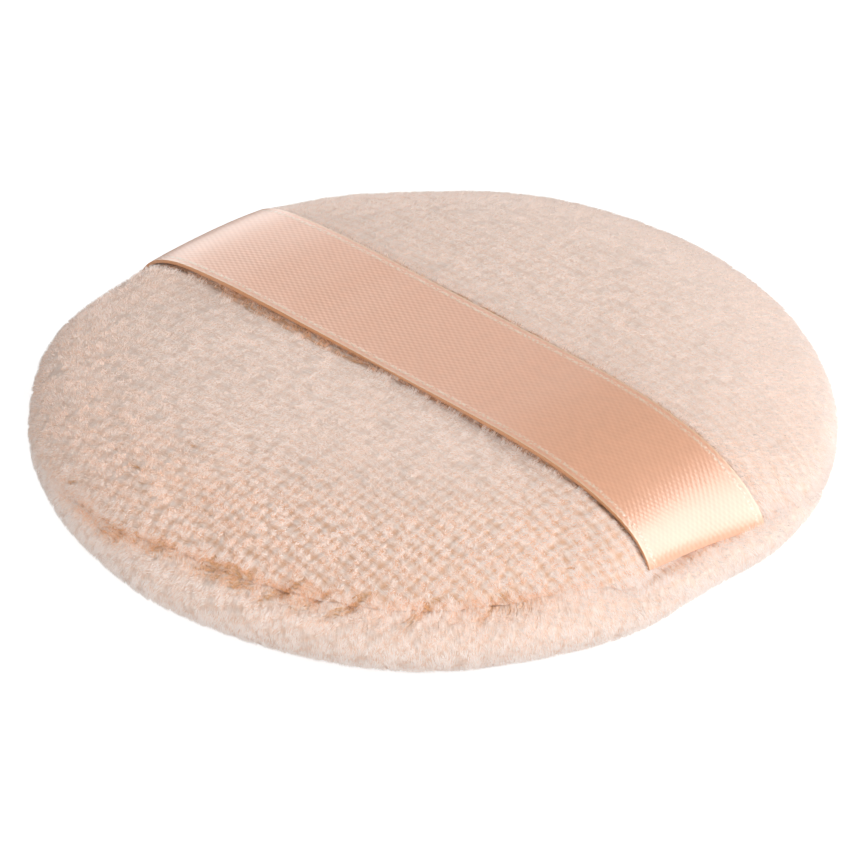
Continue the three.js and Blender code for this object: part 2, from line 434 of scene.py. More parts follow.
    def tips(self, side: Side, rows: int, angle: np.ndarray) -> np.ndarray:
        """The surface of a cover at the tips of its pile.

        A point is the mean of the profiles, weighted by the crease and by the ribbon's two ends, at
        x = r k(a) cos a and y = r k(a) sin a, with k the share of the radius that the rim keeps.

        Args:
            side: which cover.
            rows: number of points from the middle to the seam.
            angle: angles of the columns.

        Returns:
            A grid of points.
        """
        wide, top = self.lower_radius - self.side_inset, self.crown_height
        inner = self.upper_radius - self.crease_inset
        low, seam = self.closed_seam_height, self.seam_height
        closed = self.dome(wide, self.widest_height, flat=3.6, full=2.3, low=low, high=top)
        opened = self.dome(inner + 0.8 * MM, 5.5 * MM, flat=3.2, full=2.0, low=seam + 0.4 * MM, high=top)
        near = self.dome(inner + 0.8 * MM, 5.4 * MM, flat=5.0, full=1.9, low=6.5 * MM, high=top)
        far = self.dome(inner - 0.2 * MM, 5.6 * MM, flat=12.0, full=2.2, low=seam, high=top)
        shapes = [closed, opened, near, far]
        if side is Side.LOWER:
            widest = self.widest_height
            hidden = self.dome(wide, widest, flat=3.6, full=2.3, low=widest, high=low)
            swollen = near[-1] + np.array([0.3, 0.25]) * MM
            ends = [self.lip(end) for end in (opened[-1], near[-1], far[-1], swollen)]
            shapes = [np.concatenate([self.sole(), end]) for end in [hidden[::-1][1:], *ends]]
        closed, opened, near, far, *swollen = (spaced(shape, rows)[:, None, :] for shape in shapes)
        crease = self.creased(angle)[None, :, None]
        mixed = closed * (1 - crease) + opened * crease
        spans = [(near, 0.0, 24.0, 12.0), (far, math.pi, 24.0, 12.0)]
        spans += [(shape, 0.0, 14.0, 9.0) for shape in swollen]
        for shape, centre, out, full in spans:
            share = smooth_step(out, full, np.abs(np.degrees(angle_off(angle, centre))))[None, :, None]
            mixed = mixed * (1 - share) + shape * share
        rim = smooth_step(0.93, 1.0, np.linspace(0.0, 1.0, rows))[:, None]
        out = mixed[..., 0] * self.kept(angle) + 0.5 * self.ragged * np.sin(43 * angle) * rim
        height = mixed[..., 1] + self.ragged * waves(angle, self.quick_waves) * rim
        return np.stack([out * np.cos(angle), out * np.sin(angle), height], axis=-1)


@dataclass(frozen=True)
class RimSeam:
    """Where the pile parts along the rim seam and lets the warm ground between the covers show.

    It parts most round the front left, a little as far as the ribbon's near end, and in a notch at
    each of the hand stitches that close the turning gap. A slit of the nap is given as its angle in
    degrees and its height above the seam and its length in mm.
    """

    radius: float
    strengths: tuple[float, ...] = (1.0, 0.85, 1.0, 0.4, 0.85, 0.45, 0.8)
    stitch_centre: float = math.radians(-52)
    stitch_length: float = 3.5 * MM
    notch: float = 0.85 * MM
    slant: float = 1.1
    slits: Triples = ((-104.5, 6.8, 2.6), (-101, 12.6, 1.6), (-112, 1.2, 1.4))
    slit_width: float = 0.28 * MM

    def stitch_angles(self) -> np.ndarray:
        """Angles of the hand stitches."""
        count, step = len(self.strengths), self.stitch_length / self.radius
        return self.stitch_centre + (np.arange(count) - (count - 1) / 2) * step

    def parted(self, angle: np.ndarray) -> np.ndarray:
        """How far the pile parts at an angle.

        It is the larger of a strong and a faint stretch, roughened by noise along the seam.

        Args:
            angle: angles round the puff.

        Returns:
            0 where the pile closes over the seam, and 1 where the ground is bare.
        """
        turn = np.degrees(angle_off(angle, 0.0))
        strong = 0.5 * smooth_step(-122, -108, turn) + 0.5 * smooth_step(-104, -92, turn)
        strong = strong * smooth_step(-62, -76, turn)
        faint = 0.5 * smooth_step(-90, -70, turn) * smooth_step(-12, -34, turn)
        rough = 0.78 + 0.4 * soft_noise(angle * self.radius, angle * 0.0, 1.9 * MM, 41)
        return np.clip(np.maximum(strong, faint) * rough, 0.0, 1.0)

    def notched(self, angle: np.ndarray, above: np.ndarray | float = 0.0) -> np.ndarray:
        """How far the hand stitches draw the pile in: a bell curve at each of them, along a slanting line.

        Args:
            angle: angles round the puff.
            above: distance above the seam, which is negative below it.

        Returns:
            0 to 1 for each place.
        """
        off = angle_off(angle[..., None], self.stitch_angles()) * self.radius
        off = off - np.asarray(above)[..., None] * self.slant
        return (bell(off / self.notch) * np.array(self.strengths)).sum(axis=-1)

    def combed(self, angle: np.ndarray) -> np.ndarray:
        """How far the nap is combed into streaks above the seam: a little, round the left and front."""
        turn = np.degrees(angle_off(angle, 0.0))
        return 0.24 * smooth_step(-172, -140, turn) * smooth_step(-8, -50, turn)

    def slit(self, x: np.ndarray, y: np.ndarray, reach: float) -> np.ndarray:
        """Short slits where the nap parts above the seam, as long spots along X on the flat cloth.

        Args:
            x: first coordinate on the flat cloth.
            y: second coordinate.
            reach: distance from the cloth's middle to the seam.

        Returns:
            0 to 1 for each place.
        """
        most = np.zeros_like(x)
        for turn, above, length in self.slits:
            angle, far = math.radians(turn), reach - above * MM
            off_x = (x - far * math.cos(angle)) / (length * MM / 2)
            off_y = (y - far * math.sin(angle)) / self.slit_width
            most = np.maximum(most, np.exp(-(off_x**2) - off_y**2))
        return most


@dataclass
class Ground:
    """The knitted ground of a cover as a grid of points, with rows from its middle to the seam.

    A place on the cloth is given as it lies flat: (x, y) with the middle at (0, 0). Its distance from
    the middle is the length along the cloth, so rows of tufts keep their pitch over the shoulder.
    """

    points: np.ndarray
    reach: float
    side: Side
    normals: np.ndarray = field(init=False)

    def __post_init__(self) -> None:
        """Works out the normals as the cross product of the grid's two directions."""
        out = np.gradient(self.points, axis=0)
        padded = np.concatenate([self.points[:, -1:], self.points, self.points[:, :1]], axis=1)
        around = (padded[:, 2:] - padded[:, :-2]) / 2
        self.normals = unit(np.cross(out, around)) * self.side.value
        self.normals[0] = (0.0, 0.0, self.side.value)

    def at(self, x: np.ndarray, y: np.ndarray) -> tuple[np.ndarray, np.ndarray]:
        """Places and normals of points given on the flat cloth, straight between the grid's points.

        Args:
            x: first coordinate on the flat cloth.
            y: second coordinate on the flat cloth.

        Returns:
            The points and the normals there.
        """
        rows, columns = self.points.shape[:2]
        row = np.clip(np.hypot(x, y) / self.reach, 0.0, 0.9999) * (rows - 1)
        column = (np.arctan2(y, x) % FULL_TURN) / FULL_TURN * columns
        i, j = np.floor(row).astype(int), np.floor(column).astype(int) % columns
        u, v = (row - i)[:, None], (column - np.floor(column))[:, None]
        after = (j + 1) % columns
        found = []
        for grid in (self.points, self.normals):
            inner = grid[i, j] * (1 - v) + grid[i, after] * v
            outer = grid[i + 1, j] * (1 - v) + grid[i + 1, after] * v
            found.append(inner * (1 - u) + outer * u)
        return found[0], unit(found[1])


@dataclass(frozen=True)
class FibreLay:
    """How the fibres of a stretch of pile stand, with one value for each tuft.

    Height and leans are lengths. lean_along is along the nap, which runs along X, and lean_out is towards the
    seam. clump draws a tuft's tips together, and tone goes from 0, warm and deep, to 1, pale.
    """

    height: np.ndarray
    lean_along: np.ndarray
    lean_out: np.ndarray
    clump: np.ndarray
    tone: np.ndarray

    def chosen(self, which: np.ndarray) -> FibreLay:
        """The lay of some of the tufts."""
        return FibreLay(*(getattr(self, name)[which] for name in self.__dataclass_fields__))


Lay = Callable[[np.ndarray, np.ndarray], FibreLay]
Share = Callable[[np.ndarray, np.ndarray], np.ndarray]


@dataclass
class Pile:
    """Short pile on a ground: tufts in rows along X, and several tapered fibres to a tuft.

    bared gives how far the pile is parted at places on the flat cloth, where fibres are short and deep in
    tone, the deep tone being painted shade. The fields that start with bare say how much of its height, its
    two leans and its tone a fibre loses there.
    """

    ground: Ground
    bared: Share
    row_pitch: float
    tuft_pitch: float
    fibres: int
    radius: float
    seed: int
    stagger: float = 0.0
    jitter: float = 0.26
    sink: float = 0.1 * MM
    spread: float = 0.7
    length_spread: float = 0.10
    stray: float = 0.06
    tone_spread: float = 0.22
    least_tone: float = 0.40
    bare_height: float = 0.85
    bare_along: float = 0.6
    bare_out: float = 0.8
    bare_shade_tone: float = 0.75

    def tufts(self, inner: float, outer: float) -> tuple[np.ndarray, np.ndarray]:
        """Places of the tufts on the flat cloth.

        Args:
            inner: least distance from the cloth's middle.
            outer: greatest distance from it.

        Returns:
            The two coordinates of each tuft.
        """
        counts = [math.ceil(outer / pitch) for pitch in (self.tuft_pitch, self.row_pitch)]
        step, row = np.meshgrid(*(np.arange(-count, count + 1) for count in counts))
        random = np.random.default_rng(self.seed)
        off = random.normal(0.0, self.jitter, (2, *step.shape))
        x = (step + self.stagger * (row % 2) + off[0]) * self.tuft_pitch
        y = (row + off[1]) * self.row_pitch
        far = np.hypot(x, y)
        inside = (far >= inner) & (far < outer)
        return x[inside], y[inside]

    def directions(self, x: np.ndarray, y: np.ndarray) -> tuple[np.ndarray, np.ndarray]:
        """Unit steps on the ground along the nap and out towards the seam, by small differences.

        Args:
            x: first coordinate of each place on the flat cloth.
            y: second coordinate.

        Returns:
            The two directions at each place.
        """
        step = 0.2 * MM
        far = np.maximum(np.hypot(x, y), step)
        back, ahead = self.ground.at(x - step, y)[0], self.ground.at(x + step, y)[0]
        inner = self.ground.at(x - step * x / far, y - step * y / far)[0]
        outer = self.ground.at(x + step * x / far, y + step * y / far)[0]
        return unit(ahead - back), unit(outer - inner)

    def grow(self, name: str, x: np.ndarray, y: np.ndarray, lay: FibreLay) -> bpy.types.Object:
        """Grows the fibres of some tufts as one mesh of closed needles.

        A fibre's root is its tuft's place plus its own offset. Its tip stands over the place to which
        the clump draws it, raised by the height and moved by the two leans, each a little different
        for each fibre.

        Args:
            name: name of the piece.
            x: first coordinate of each tuft on the flat cloth.
            y: second coordinate.
            lay: how the fibres of each tuft stand.

        Returns:
            The mesh object.
        """
        random = np.random.default_rng(self.seed + len(x))
        count = len(x) * self.fibres

        def each(values: np.ndarray) -> np.ndarray:
            """One value for each fibre from one for each tuft."""
            return np.repeat(values, self.fibres, axis=0)

        turn = random.uniform(0.0, FULL_TURN, count)
        away = np.sqrt(random.uniform(0.0, 1.0, count)) * self.spread
        off_x, off_y = away * np.cos(turn) * self.tuft_pitch, away * np.sin(turn) * self.row_pitch
        root, normal = self.ground.at(each(x) + off_x, each(y) + off_y)
        bare = np.clip(self.bared(each(x) + off_x, each(y) + off_y), 0.0, 1.0)
        height = each(lay.height) * (1 - self.bare_height * bare**2)
        near = each(lay.lean_along) * (1 - self.bare_along * bare)
        aside = each(lay.lean_out) * (1 - self.bare_out * bare**2)
        stay = 1.0 - each(lay.clump)
        over, _ = self.ground.at(each(x) + off_x * stay, each(y) + off_y * stay)
        nap, out = (each(way) for way in self.directions(x, y))
        vary = random.normal(1.0, self.length_spread, (3, count, 1))
        stray = random.normal(0.0, self.stray, (count, 3)) * height[:, None]
        tip = over + normal * height[:, None] * vary[0] + stray
        tip = tip + nap * near[:, None] * vary[1] + out * aside[:, None] * vary[2]
        foot = root - normal * self.sink

        along = unit(tip - foot)
        across = unit(np.cross(along, normal + 0.01))
        lift = np.cross(along, across)
        spin = random.uniform(0.0, FULL_TURN, (count, 1)) + np.array([0.0, 2.0, 4.0]) * (math.pi / 3)
        around = across[:, None] * np.cos(spin)[..., None] + lift[:, None] * np.sin(spin)[..., None]
        ring = foot[:, None] + around * self.radius
        points = np.concatenate([ring, tip[:, None]], axis=1).reshape(-1, 3)
        border = (away / self.spread) ** 2 - 0.5
        tone = each(lay.tone) - each(lay.clump) * border + random.normal(0.0, self.tone_spread, count)
        # Painted shade: bared fibres lose tone, towards the orange bare colour of the finish.
        tone = np.clip(np.clip(tone, self.least_tone, 1.0) - self.bare_shade_tone * bare, 0.02, 0.98)
        shade = tone[:, None] + np.array([-1.0, 0.0, 1.0, 0.0]) / 256
        length = np.broadcast_to(np.array([0.01, 0.03, 0.01, 0.99]), (count, 4))
        places = np.stack([length, shade], axis=-1).reshape(-1, 2)
        needle = np.array([[0, 1, 3], [1, 2, 3], [2, 0, 3], [0, 2, 1]])
        triangles = (np.arange(count)[:, None, None] * 4 + needle).reshape(-1, 3)
        return new_mesh(name, points, [triangles], {FIBRE_MAP: places}, smooth=False)


Colour = tuple[float, float, float]
Wave = tuple[float, float]
Socket = bpy.types.NodeSocket


class Nodes:
    """Small helper that lays out the nodes of one tree."""

    def __init__(self, tree: bpy.types.NodeTree) -> None:
        """Starts with an empty tree."""
        self.tree = tree
        self.tree.nodes.clear()

    def add(self, kind: str, **settings: object) -> bpy.types.Node:
        """Adds a node and sets its own properties.

        Args:
            kind: type of the node.
            settings: its properties by name.

        Returns:
            The node.
        """
        node = self.tree.nodes.new(kind)
        for key, value in settings.items():
            setattr(node, key, value)
        return node

    def link(self, source: Socket, target: Socket) -> None:
        """Joins two sockets."""
        self.tree.links.new(source, target)

    def feed(self, node: bpy.types.Node, values: dict[int | str, object]) -> bpy.types.Node:
        """Feeds a node's inputs, each from a socket or with a plain value.

        Args:
            node: the node.
            values: what each input gets, by its number or name.

        Returns:
            The same node.
        """
        for key, value in values.items():
            if isinstance(value, Socket):
                self.link(value, node.inputs[key])
            else:
                node.inputs[key].default_value = value
        return node

    def math(self, operation: str, *values: object) -> Socket:
        """A math node on sockets or plain numbers, and its result."""
        node = self.add("ShaderNodeMath", operation=operation)
        return self.feed(node, dict(enumerate(values))).outputs[0]

    def vector(self, operation: str, *values: object) -> Socket:
        """A vector math node on sockets or plain vectors.

        Args:
            operation: what it works out.
            values: its inputs in order.

        Returns:
            Its result, which is a plain value for a dot product.
        """
        node = self.add("ShaderNodeVectorMath", operation=operation)
        result = "Value" if operation == "DOT_PRODUCT" else "Vector"
        return self.feed(node, dict(enumerate(values))).outputs[result]

    def group(self, tree: bpy.types.NodeTree, **values: object) -> Socket:
        """Places a node group, feeds its inputs and gives its one output."""
        return self.feed(self.add("ShaderNodeGroup", node_tree=tree), values).outputs[0]

    def ramp(self, source: Socket, stops: list[tuple[float, Colour]]) -> Socket:
        """A colour ramp over a value.

        Args:
            source: the value.
            stops: place and colour of each stop, in order.

        Returns:
            The colour.
        """
        node = self.add("ShaderNodeValToRGB")
        elements = node.color_ramp.elements
        while len(elements) < len(stops):
            elements.new(0.5)
        for element, (place, colour) in zip(elements, stops):
            element.position = place
            element.color = (*colour, 1.0)
        return self.feed(node, {"Fac": source}).outputs["Color"]

    def mix(self, factor: object, a: object, b: object, blend: str = "MIX") -> Socket:
        """A colour mix of sockets or plain colours.

        Args:
            factor: how much of the second shows.
            a: first colour.
            b: second colour.
            blend: how they are blended.

        Returns:
            The mixed colour.
        """
        node = self.add("ShaderNodeMix", data_type="RGBA", blend_type=blend)
        first, second = ((*side, 1.0) if isinstance(side, tuple) else side for side in (a, b))
        return self.feed(node, {0: factor, 6: first, 7: second}).outputs[2]

    def noise(self, vector: Socket, pitch: float, detail: float, output: str = "Fac") -> Socket:
        """A noise texture with blotches of about a pitch."""
        values = {"Vector": vector, "Scale": 1.0 / pitch, "Detail": detail}
        return self.feed(self.add("ShaderNodeTexNoise"), values).outputs[output]

    def graded(self, source: Socket, low: float, high: float) -> Socket:
        """A smooth step of a value from 0 at low to 1 at high."""
        node = self.add("ShaderNodeMapRange", interpolation_type="SMOOTHSTEP")
        return self.feed(node, {"Value": source, "From Min": low, "From Max": high}).outputs["Result"]

    def axes(self, vector: Socket) -> tuple[Socket, ...]:
        """A vector's three coordinates."""
        return tuple(self.feed(self.add("ShaderNodeSeparateXYZ"), {0: vector}).outputs)

    def uv(self, name: str) -> Socket:
        """A UV map's coordinates."""
        return self.add("ShaderNodeUVMap", uv_map=name).outputs["UV"]

    def attribute(self, name: str) -> Socket:
        """A value that the mesh carries at its points."""
        return self.add("ShaderNodeAttribute", attribute_name=name).outputs["Fac"]


class MaterialNodes(Nodes):
    """The nodes of one new material, with a Principled shader and its output."""

    def __init__(self, name: str) -> None:
        """Makes the material.

        Args:
            name: its name.
        """
        self.material = bpy.data.materials.new(name)
        self.material.use_nodes = True
        super().__init__(self.material.node_tree)
        self.shader = self.add("ShaderNodeBsdfPrincipled")
        output = self.add("ShaderNodeOutputMaterial")
        self.link(self.shader.outputs["BSDF"], output.inputs["Surface"])

    def place(self) -> Socket:
        """The place in the frame's own axes."""
        return self.add("ShaderNodeTexCoord").outputs["Object"]

    def set(self, **values: object) -> None:
        """Feeds the shader's sockets, with spaces written as underscores."""
        self.feed(self.shader, {key.replace("_", " "): value for key, value in values.items()})

    def bump(self, height: Socket, distance: float, strength: float = 1.0) -> None:
        """Feeds a height through a Bump node into the shader's normal."""
        values = {"Height": height, "Distance": distance, "Strength": strength}
        self.set(Normal=self.feed(self.add("ShaderNodeBump"), values).outputs["Normal"])


class Groups:
    """Shader node groups that several finishes share."""

    def __init__(self) -> None:
        """Builds each group once."""
        self.tint = self.uneven_tint()
        self.tufts = self.domes("tuft_rows", ((1 / TUFT_PITCH, 0.0), (0.0, 1 / ROW_PITCH)), 0.42)
        float_length, float_width = 1.0 * MM, 0.572 * MM
        floats, rows = 1 / float_length, 1 / float_width
        self.floats = self.domes("warp_floats", ((floats, rows), (floats, -rows)), 0.5)

    @staticmethod
    def start(name: str, inputs: list[str], output: str) -> tuple[Nodes, dict[str, Socket], Socket]:
        """Makes a group with its sockets and its input and output nodes.

        Args:
            name: name of the group.
            inputs: names of the inputs, which are values apart from one called Vector.
            output: name of its one output, which is a value.

        Returns:
            The group's nodes, its inputs by name, and the socket that takes its result.
        """
        tree = bpy.data.node_groups.new(name, "ShaderNodeTree")
        for socket in inputs:
            kind = "NodeSocketVector" if socket == "Vector" else "NodeSocketFloat"
            tree.interface.new_socket(socket, in_out="INPUT", socket_type=kind)
        tree.interface.new_socket(output, in_out="OUTPUT", socket_type="NodeSocketFloat")
        nodes = Nodes(tree)
        given, result = nodes.add("NodeGroupInput"), nodes.add("NodeGroupOutput")
        return nodes, {socket: given.outputs[socket] for socket in inputs}, result.inputs[output]

    def uneven_tint(self) -> bpy.types.NodeTree:
        """Uneven tint: noise spread from 1 less the amount to 1 plus the amount.

        Returns:
            The group, which puts out the factor to multiply a colour with.
        """
        nodes, given, result = self.start("uneven_tint", ["Vector", "Scale", "Amount"], "Factor")
        values = {"Vector": given["Vector"], "Scale": given["Scale"], "Detail": 4.0}
        noise = nodes.feed(nodes.add("ShaderNodeTexNoise"), values)
        spread = {
            "Value": noise.outputs["Fac"],
            "From Min": 0.3,
            "From Max": 0.7,
            "To Min": nodes.math("SUBTRACT", 1.0, given["Amount"]),
            "To Max": nodes.math("ADD", 1.0, given["Amount"]),
        }
        nodes.link(nodes.feed(nodes.add("ShaderNodeMapRange"), spread).outputs["Result"], result)
        return nodes.tree

    def domes(self, name: str, pair: tuple[Wave, Wave], share: float) -> bpy.types.NodeTree:
        """Soft domes on a lattice: two waves that cross.

        The height is a half, plus half of the first wave's cosine times its share, plus half of the
        second's times the rest.

        Args:
            name: name of the group.
            pair: for each wave, its turns in a metre along X and along Y.
            share: share of the first wave, from 0 to 1.

        Returns:
            The group, which puts out the dome's height from 0 to 1.
        """
        nodes, given, result = self.start(name, ["Vector"], "Dome")
        height = 0.5
        for wave, part in zip(pair, (share, 1.0 - share)):
            turns = (FULL_TURN * wave[0], FULL_TURN * wave[1], 0.0)
            swing = nodes.math("COSINE", nodes.vector("DOT_PRODUCT", given["Vector"], turns))
            height = nodes.math("MULTIPLY_ADD", swing, part / 2, height)
        nodes.link(height, result)
        return nodes.tree


@dataclass(frozen=True)
class PileFinish:
    """Loose velour fibres: pale at the tip, warmer at the root as painted shade among the roots, some deeper
    than others, and orange where bared, which is painted shade.
    """

    root: Colour = (0.91, 0.82, 0.77)
    tip: Colour = (0.94, 0.90, 0.88)
    bare: Colour = (0.95, 0.60, 0.35)
    deep: Colour = (0.96, 0.91, 0.875)
    pale: Colour = (1.0, 1.0, 1.0)
    roughness: float = 0.85

    def material(self) -> bpy.types.Material:
        """Colour from root to tip along the fibre map's first axis, and tint along its second.

        Returns:
            The material.
        """
        nodes = MaterialNodes("velour_fibres")
        length, tone, _ = nodes.axes(nodes.uv(FIBRE_MAP))
        # Painted shade: the root end is warmer, and the low tones that bared fibres take turn to the orange
        # bare colour.
        along = nodes.ramp(length, [(0.0, self.root), (1.0, self.tip)])
        tint = nodes.ramp(tone, [(0.0, self.bare), (0.4, self.deep), (1.0, self.pale)])
        nodes.set(Base_Color=nodes.mix(1.0, along, tint, "MULTIPLY"))
        nodes.set(Roughness=self.roughness, Specular_IOR_Level=0.1)
        nodes.set(Sheen_Weight=0.3, Sheen_Roughness=0.5)
        return nodes.material


@dataclass(frozen=True)
class VelourFinish:
    """The dense body of the pile: pale, with warm painted shade in the gaps between its tufts, and
    orange-brown where it is parted, which is partly the ground's own colour and partly painted shade, as in
    the painted shade lines beside the ribbon.
    """

    colour: Colour = (0.905, 0.745, 0.66)
    # The colour between is painted shade for the gaps between tufts, on a ground a little warmer than the
    # tips.
    between: Colour = (0.80, 0.49, 0.325)
    # The parted colour is the orange-brown ground where the pile parts, and it also serves the painted shade
    # lines beside the ribbon. The next, darker colour is painted shade deep down in the parted places.
    parted: Colour = (0.90, 0.53, 0.28)
    crevice_shade: Colour = (0.58, 0.25, 0.09)
    # Share of the painted gap shade that the lower cover takes.
    lower_gap_shade: float = 0.5
    nap_width: float = 0.15 * MM
    nap_length: float = 1.0 * MM
    nap_depth: float = 0.05 * MM
    hang_radius: float = 41 * MM
    tuft_depth: float = 0.12 * MM
    ends_pitch: float = 0.26 * MM
    ends_depth: float = 0.08 * MM
    blot_pitch: float = 0.42 * MM
    blob_pitch: float = 0.8 * MM
    bared_depth: float = 0.2 * MM
    wander: float = 1.2 * MM
    wander_pitch: float = 1.4 * MM
    roughness: float = 0.92

    def material(self, side: Side, groups: Groups) -> bpy.types.Material:
        """Tufts, fine streaks along the nap and fibre ends, as colour and as bump.

        The tufts lie in rows on the flat cloth, which wander. Over the top the nap runs along X. Round
        the side it hangs down, so there the streaks are laid on the angle round the puff, as the unit
        vector away from the axis times the rim's radius.

        Args:
            side: which cover it is for.
            groups: node groups that finishes share.

        Returns:
            The material.
        """
        nodes = MaterialNodes(f"velour_{side.name.lower()}")
        place, cloth = nodes.place(), nodes.uv(CLOTH_MAP)
        aside = nodes.noise(cloth, self.wander_pitch, 2.0, "Color")
        drift = nodes.vector("MULTIPLY_ADD", aside, (self.wander, self.wander, 0.0), cloth)
        moved = nodes.vector("SUBTRACT", drift, (self.wander / 2, self.wander / 2, 0.0))
        if side is Side.UPPER:
            lay = nodes.vector("MULTIPLY", moved, (1 / self.nap_length, 1 / self.nap_width, 1.0))
        else:
            streaks = self.hang_radius / self.nap_width
            away = nodes.vector("NORMALIZE", nodes.vector("MULTIPLY", place, (1.0, 1.0, 0.0)))
            turned = nodes.vector("MULTIPLY", away, (streaks, streaks, 0.0))
            down = nodes.vector("MULTIPLY", place, (0.0, 0.0, 1 / self.nap_length))
            lay = nodes.vector("ADD", turned, down)
        bare, opened = nodes.attribute(BARE), nodes.attribute(OPEN)
        nap = nodes.noise(lay, 1.0, 2.0)
        ends = nodes.noise(place, self.ends_pitch, 3.0)
        blot = nodes.noise(nodes.vector("MULTIPLY", moved, (0.28, 1.0, 1.0)), self.blot_pitch, 4.0)
        blob = nodes.noise(moved, self.blob_pitch, 1.0)
        dome = nodes.group(groups.tufts, Vector=moved)
        dome = nodes.math("MULTIPLY_ADD", nodes.math("SUBTRACT", nap, 0.5), 0.7, dome)
        dome = nodes.math("MULTIPLY_ADD", nodes.math("SUBTRACT", blob, 0.5), 0.5, dome)
        gap = nodes.math("MULTIPLY", nodes.math("SUBTRACT", 1.0, dome), opened)

        uneven = nodes.group(groups.tint, Vector=place, Scale=260.0, Amount=0.03)
        # Painted shade: the gaps between tufts turn towards the between colour, since the fibres cast no
        # shadow.
        painted_gap_shade = nodes.math("MULTIPLY", gap, 1.0 if side is Side.UPPER else self.lower_gap_shade)
        colour = nodes.mix(painted_gap_shade, self.colour, self.between)
        # Where the pile is parted or a painted shade line lies, the colour turns to the parted ground, and
        # deeper down to painted crevice shade.
        roughened_bare = nodes.math("ADD", bare, nodes.math("MULTIPLY_ADD", blot, 2.2, -1.1))
        parted_and_shade = nodes.graded(roughened_bare, 0.38, 1.05)
        deep = nodes.math("MULTIPLY", nodes.math("SUBTRACT", 1.0, ends), parted_and_shade)
        warm = nodes.mix(deep, self.parted, self.crevice_shade)
        colour = nodes.mix(nodes.math("MULTIPLY", parted_and_shade, 0.85), colour, warm)
        shade = nodes.math("MULTIPLY_ADD", nap, 0.24, 0.74)
        shade = nodes.math("MULTIPLY_ADD", ends, 0.28, shade)
        shade = nodes.math("MULTIPLY", shade, uneven)
        nodes.set(Base_Color=nodes.mix(1.0, colour, shade, "MULTIPLY"))

        height = nodes.math("MULTIPLY", nodes.math("MULTIPLY", dome, opened), self.tuft_depth)
        height = nodes.math("MULTIPLY_ADD", nap, self.nap_depth, height)
        height = nodes.math("MULTIPLY_ADD", ends, self.ends_depth, height)
        height = nodes.math("MULTIPLY_ADD", parted_and_shade, -self.bared_depth, height)
        nodes.bump(height, 1.0, 0.8)
        nodes.set(Roughness=self.roughness, Specular_IOR_Level=0.1)
        nodes.set(Sheen_Weight=0.25, Sheen_Roughness=0.5)
        return nodes.material


@dataclass(frozen=True)
class SatinFinish:
    """Satin-woven ribbon: warp floats that shine along it, and a thin broken pale line in each selvedge."""

    colour: Colour = (0.98, 0.53, 0.345)
    between: Colour = (0.92, 0.47, 0.295)
    selvedge: Colour = (0.97, 0.78, 0.62)
    rim: Colour = (0.93, 0.66, 0.45)
    # The edge colour is painted shade: the strip's side faces are dark orange as the shadow line under the
    # ribbon's edge.
    edge: Colour = (0.70, 0.33, 0.15)
    line_inset: float = 0.75 * MM
    line_width: float = 0.3 * MM
    line_break: float = 0.3 * MM
    rim_width: float = 0.28 * MM
    edge_width: float = 0.012 * MM
    zigzag: float = 0.05 * MM
    zigzag_pitch: float = 0.55 * MM
    weave_depth: float = 0.035 * MM
    roughness: float = 0.31

    def material(self, half_width: float, groups: Groups) -> bpy.types.Material:
        """Weave and selvedge from the ribbon's cloth map, which is in metres across and along it.

        Args:
            half_width: half the ribbon's width.
            groups: node groups that finishes share.

        Returns:
            The material.
        """
        nodes = MaterialNodes("satin_ribbon")
        across, along, _ = nodes.axes(nodes.uv(CLOTH_MAP))
        lay = nodes.feed(nodes.add("ShaderNodeCombineXYZ"), {"X": along, "Y": across}).outputs[0]
        raised = nodes.group(groups.floats, Vector=lay)
        uneven = nodes.group(groups.tint, Vector=lay, Scale=900.0, Amount=0.03)
        woven = nodes.mix(raised, self.between, self.colour)
        woven = nodes.mix(1.0, woven, uneven, "MULTIPLY")

        from_edge = nodes.math("SUBTRACT", half_width, nodes.math("ABSOLUTE", across))
        wave = nodes.math("SINE", nodes.math("MULTIPLY", along, FULL_TURN / self.zigzag_pitch))
        centre = nodes.math("MULTIPLY_ADD", wave, self.zigzag, self.line_inset)
        off_line = nodes.math("ABSOLUTE", nodes.math("SUBTRACT", from_edge, centre))
        line = nodes.graded(off_line, self.line_width, self.line_width * 0.3)
        broken = nodes.noise(lay, self.line_break, 2.0)
        line = nodes.math("MULTIPLY", line, nodes.graded(broken, 0.35, 0.62))
        rim = nodes.graded(from_edge, self.rim_width, self.rim_width * 0.4)
        colour = nodes.mix(nodes.math("MULTIPLY", line, 0.75), woven, self.selvedge)
        colour = nodes.mix(nodes.math("MULTIPLY", rim, 0.7), colour, self.rim)
        # Painted shade on the strip's side faces, where the distance from the edge is nearly nothing.
        colour = nodes.mix(nodes.math("LESS_THAN", from_edge, self.edge_width), colour, self.edge)

        nodes.bump(nodes.math("MULTIPLY_ADD", line, 0.9, raised), self.weave_depth, 0.8)
        tangent = nodes.add("ShaderNodeTangent", direction_type="UV_MAP", uv_map=CLOTH_MAP)
        nodes.set(
            Base_Color=colour,
            Tangent=tangent.outputs[0],
            Roughness=self.roughness,
            Anisotropic=0.4,
            IOR=1.72,
            Specular_IOR_Level=1.0,
            Coat_Weight=0.2,
            Coat_Roughness=0.25,
            Coat_IOR=1.6,
        )
        return nodes.material


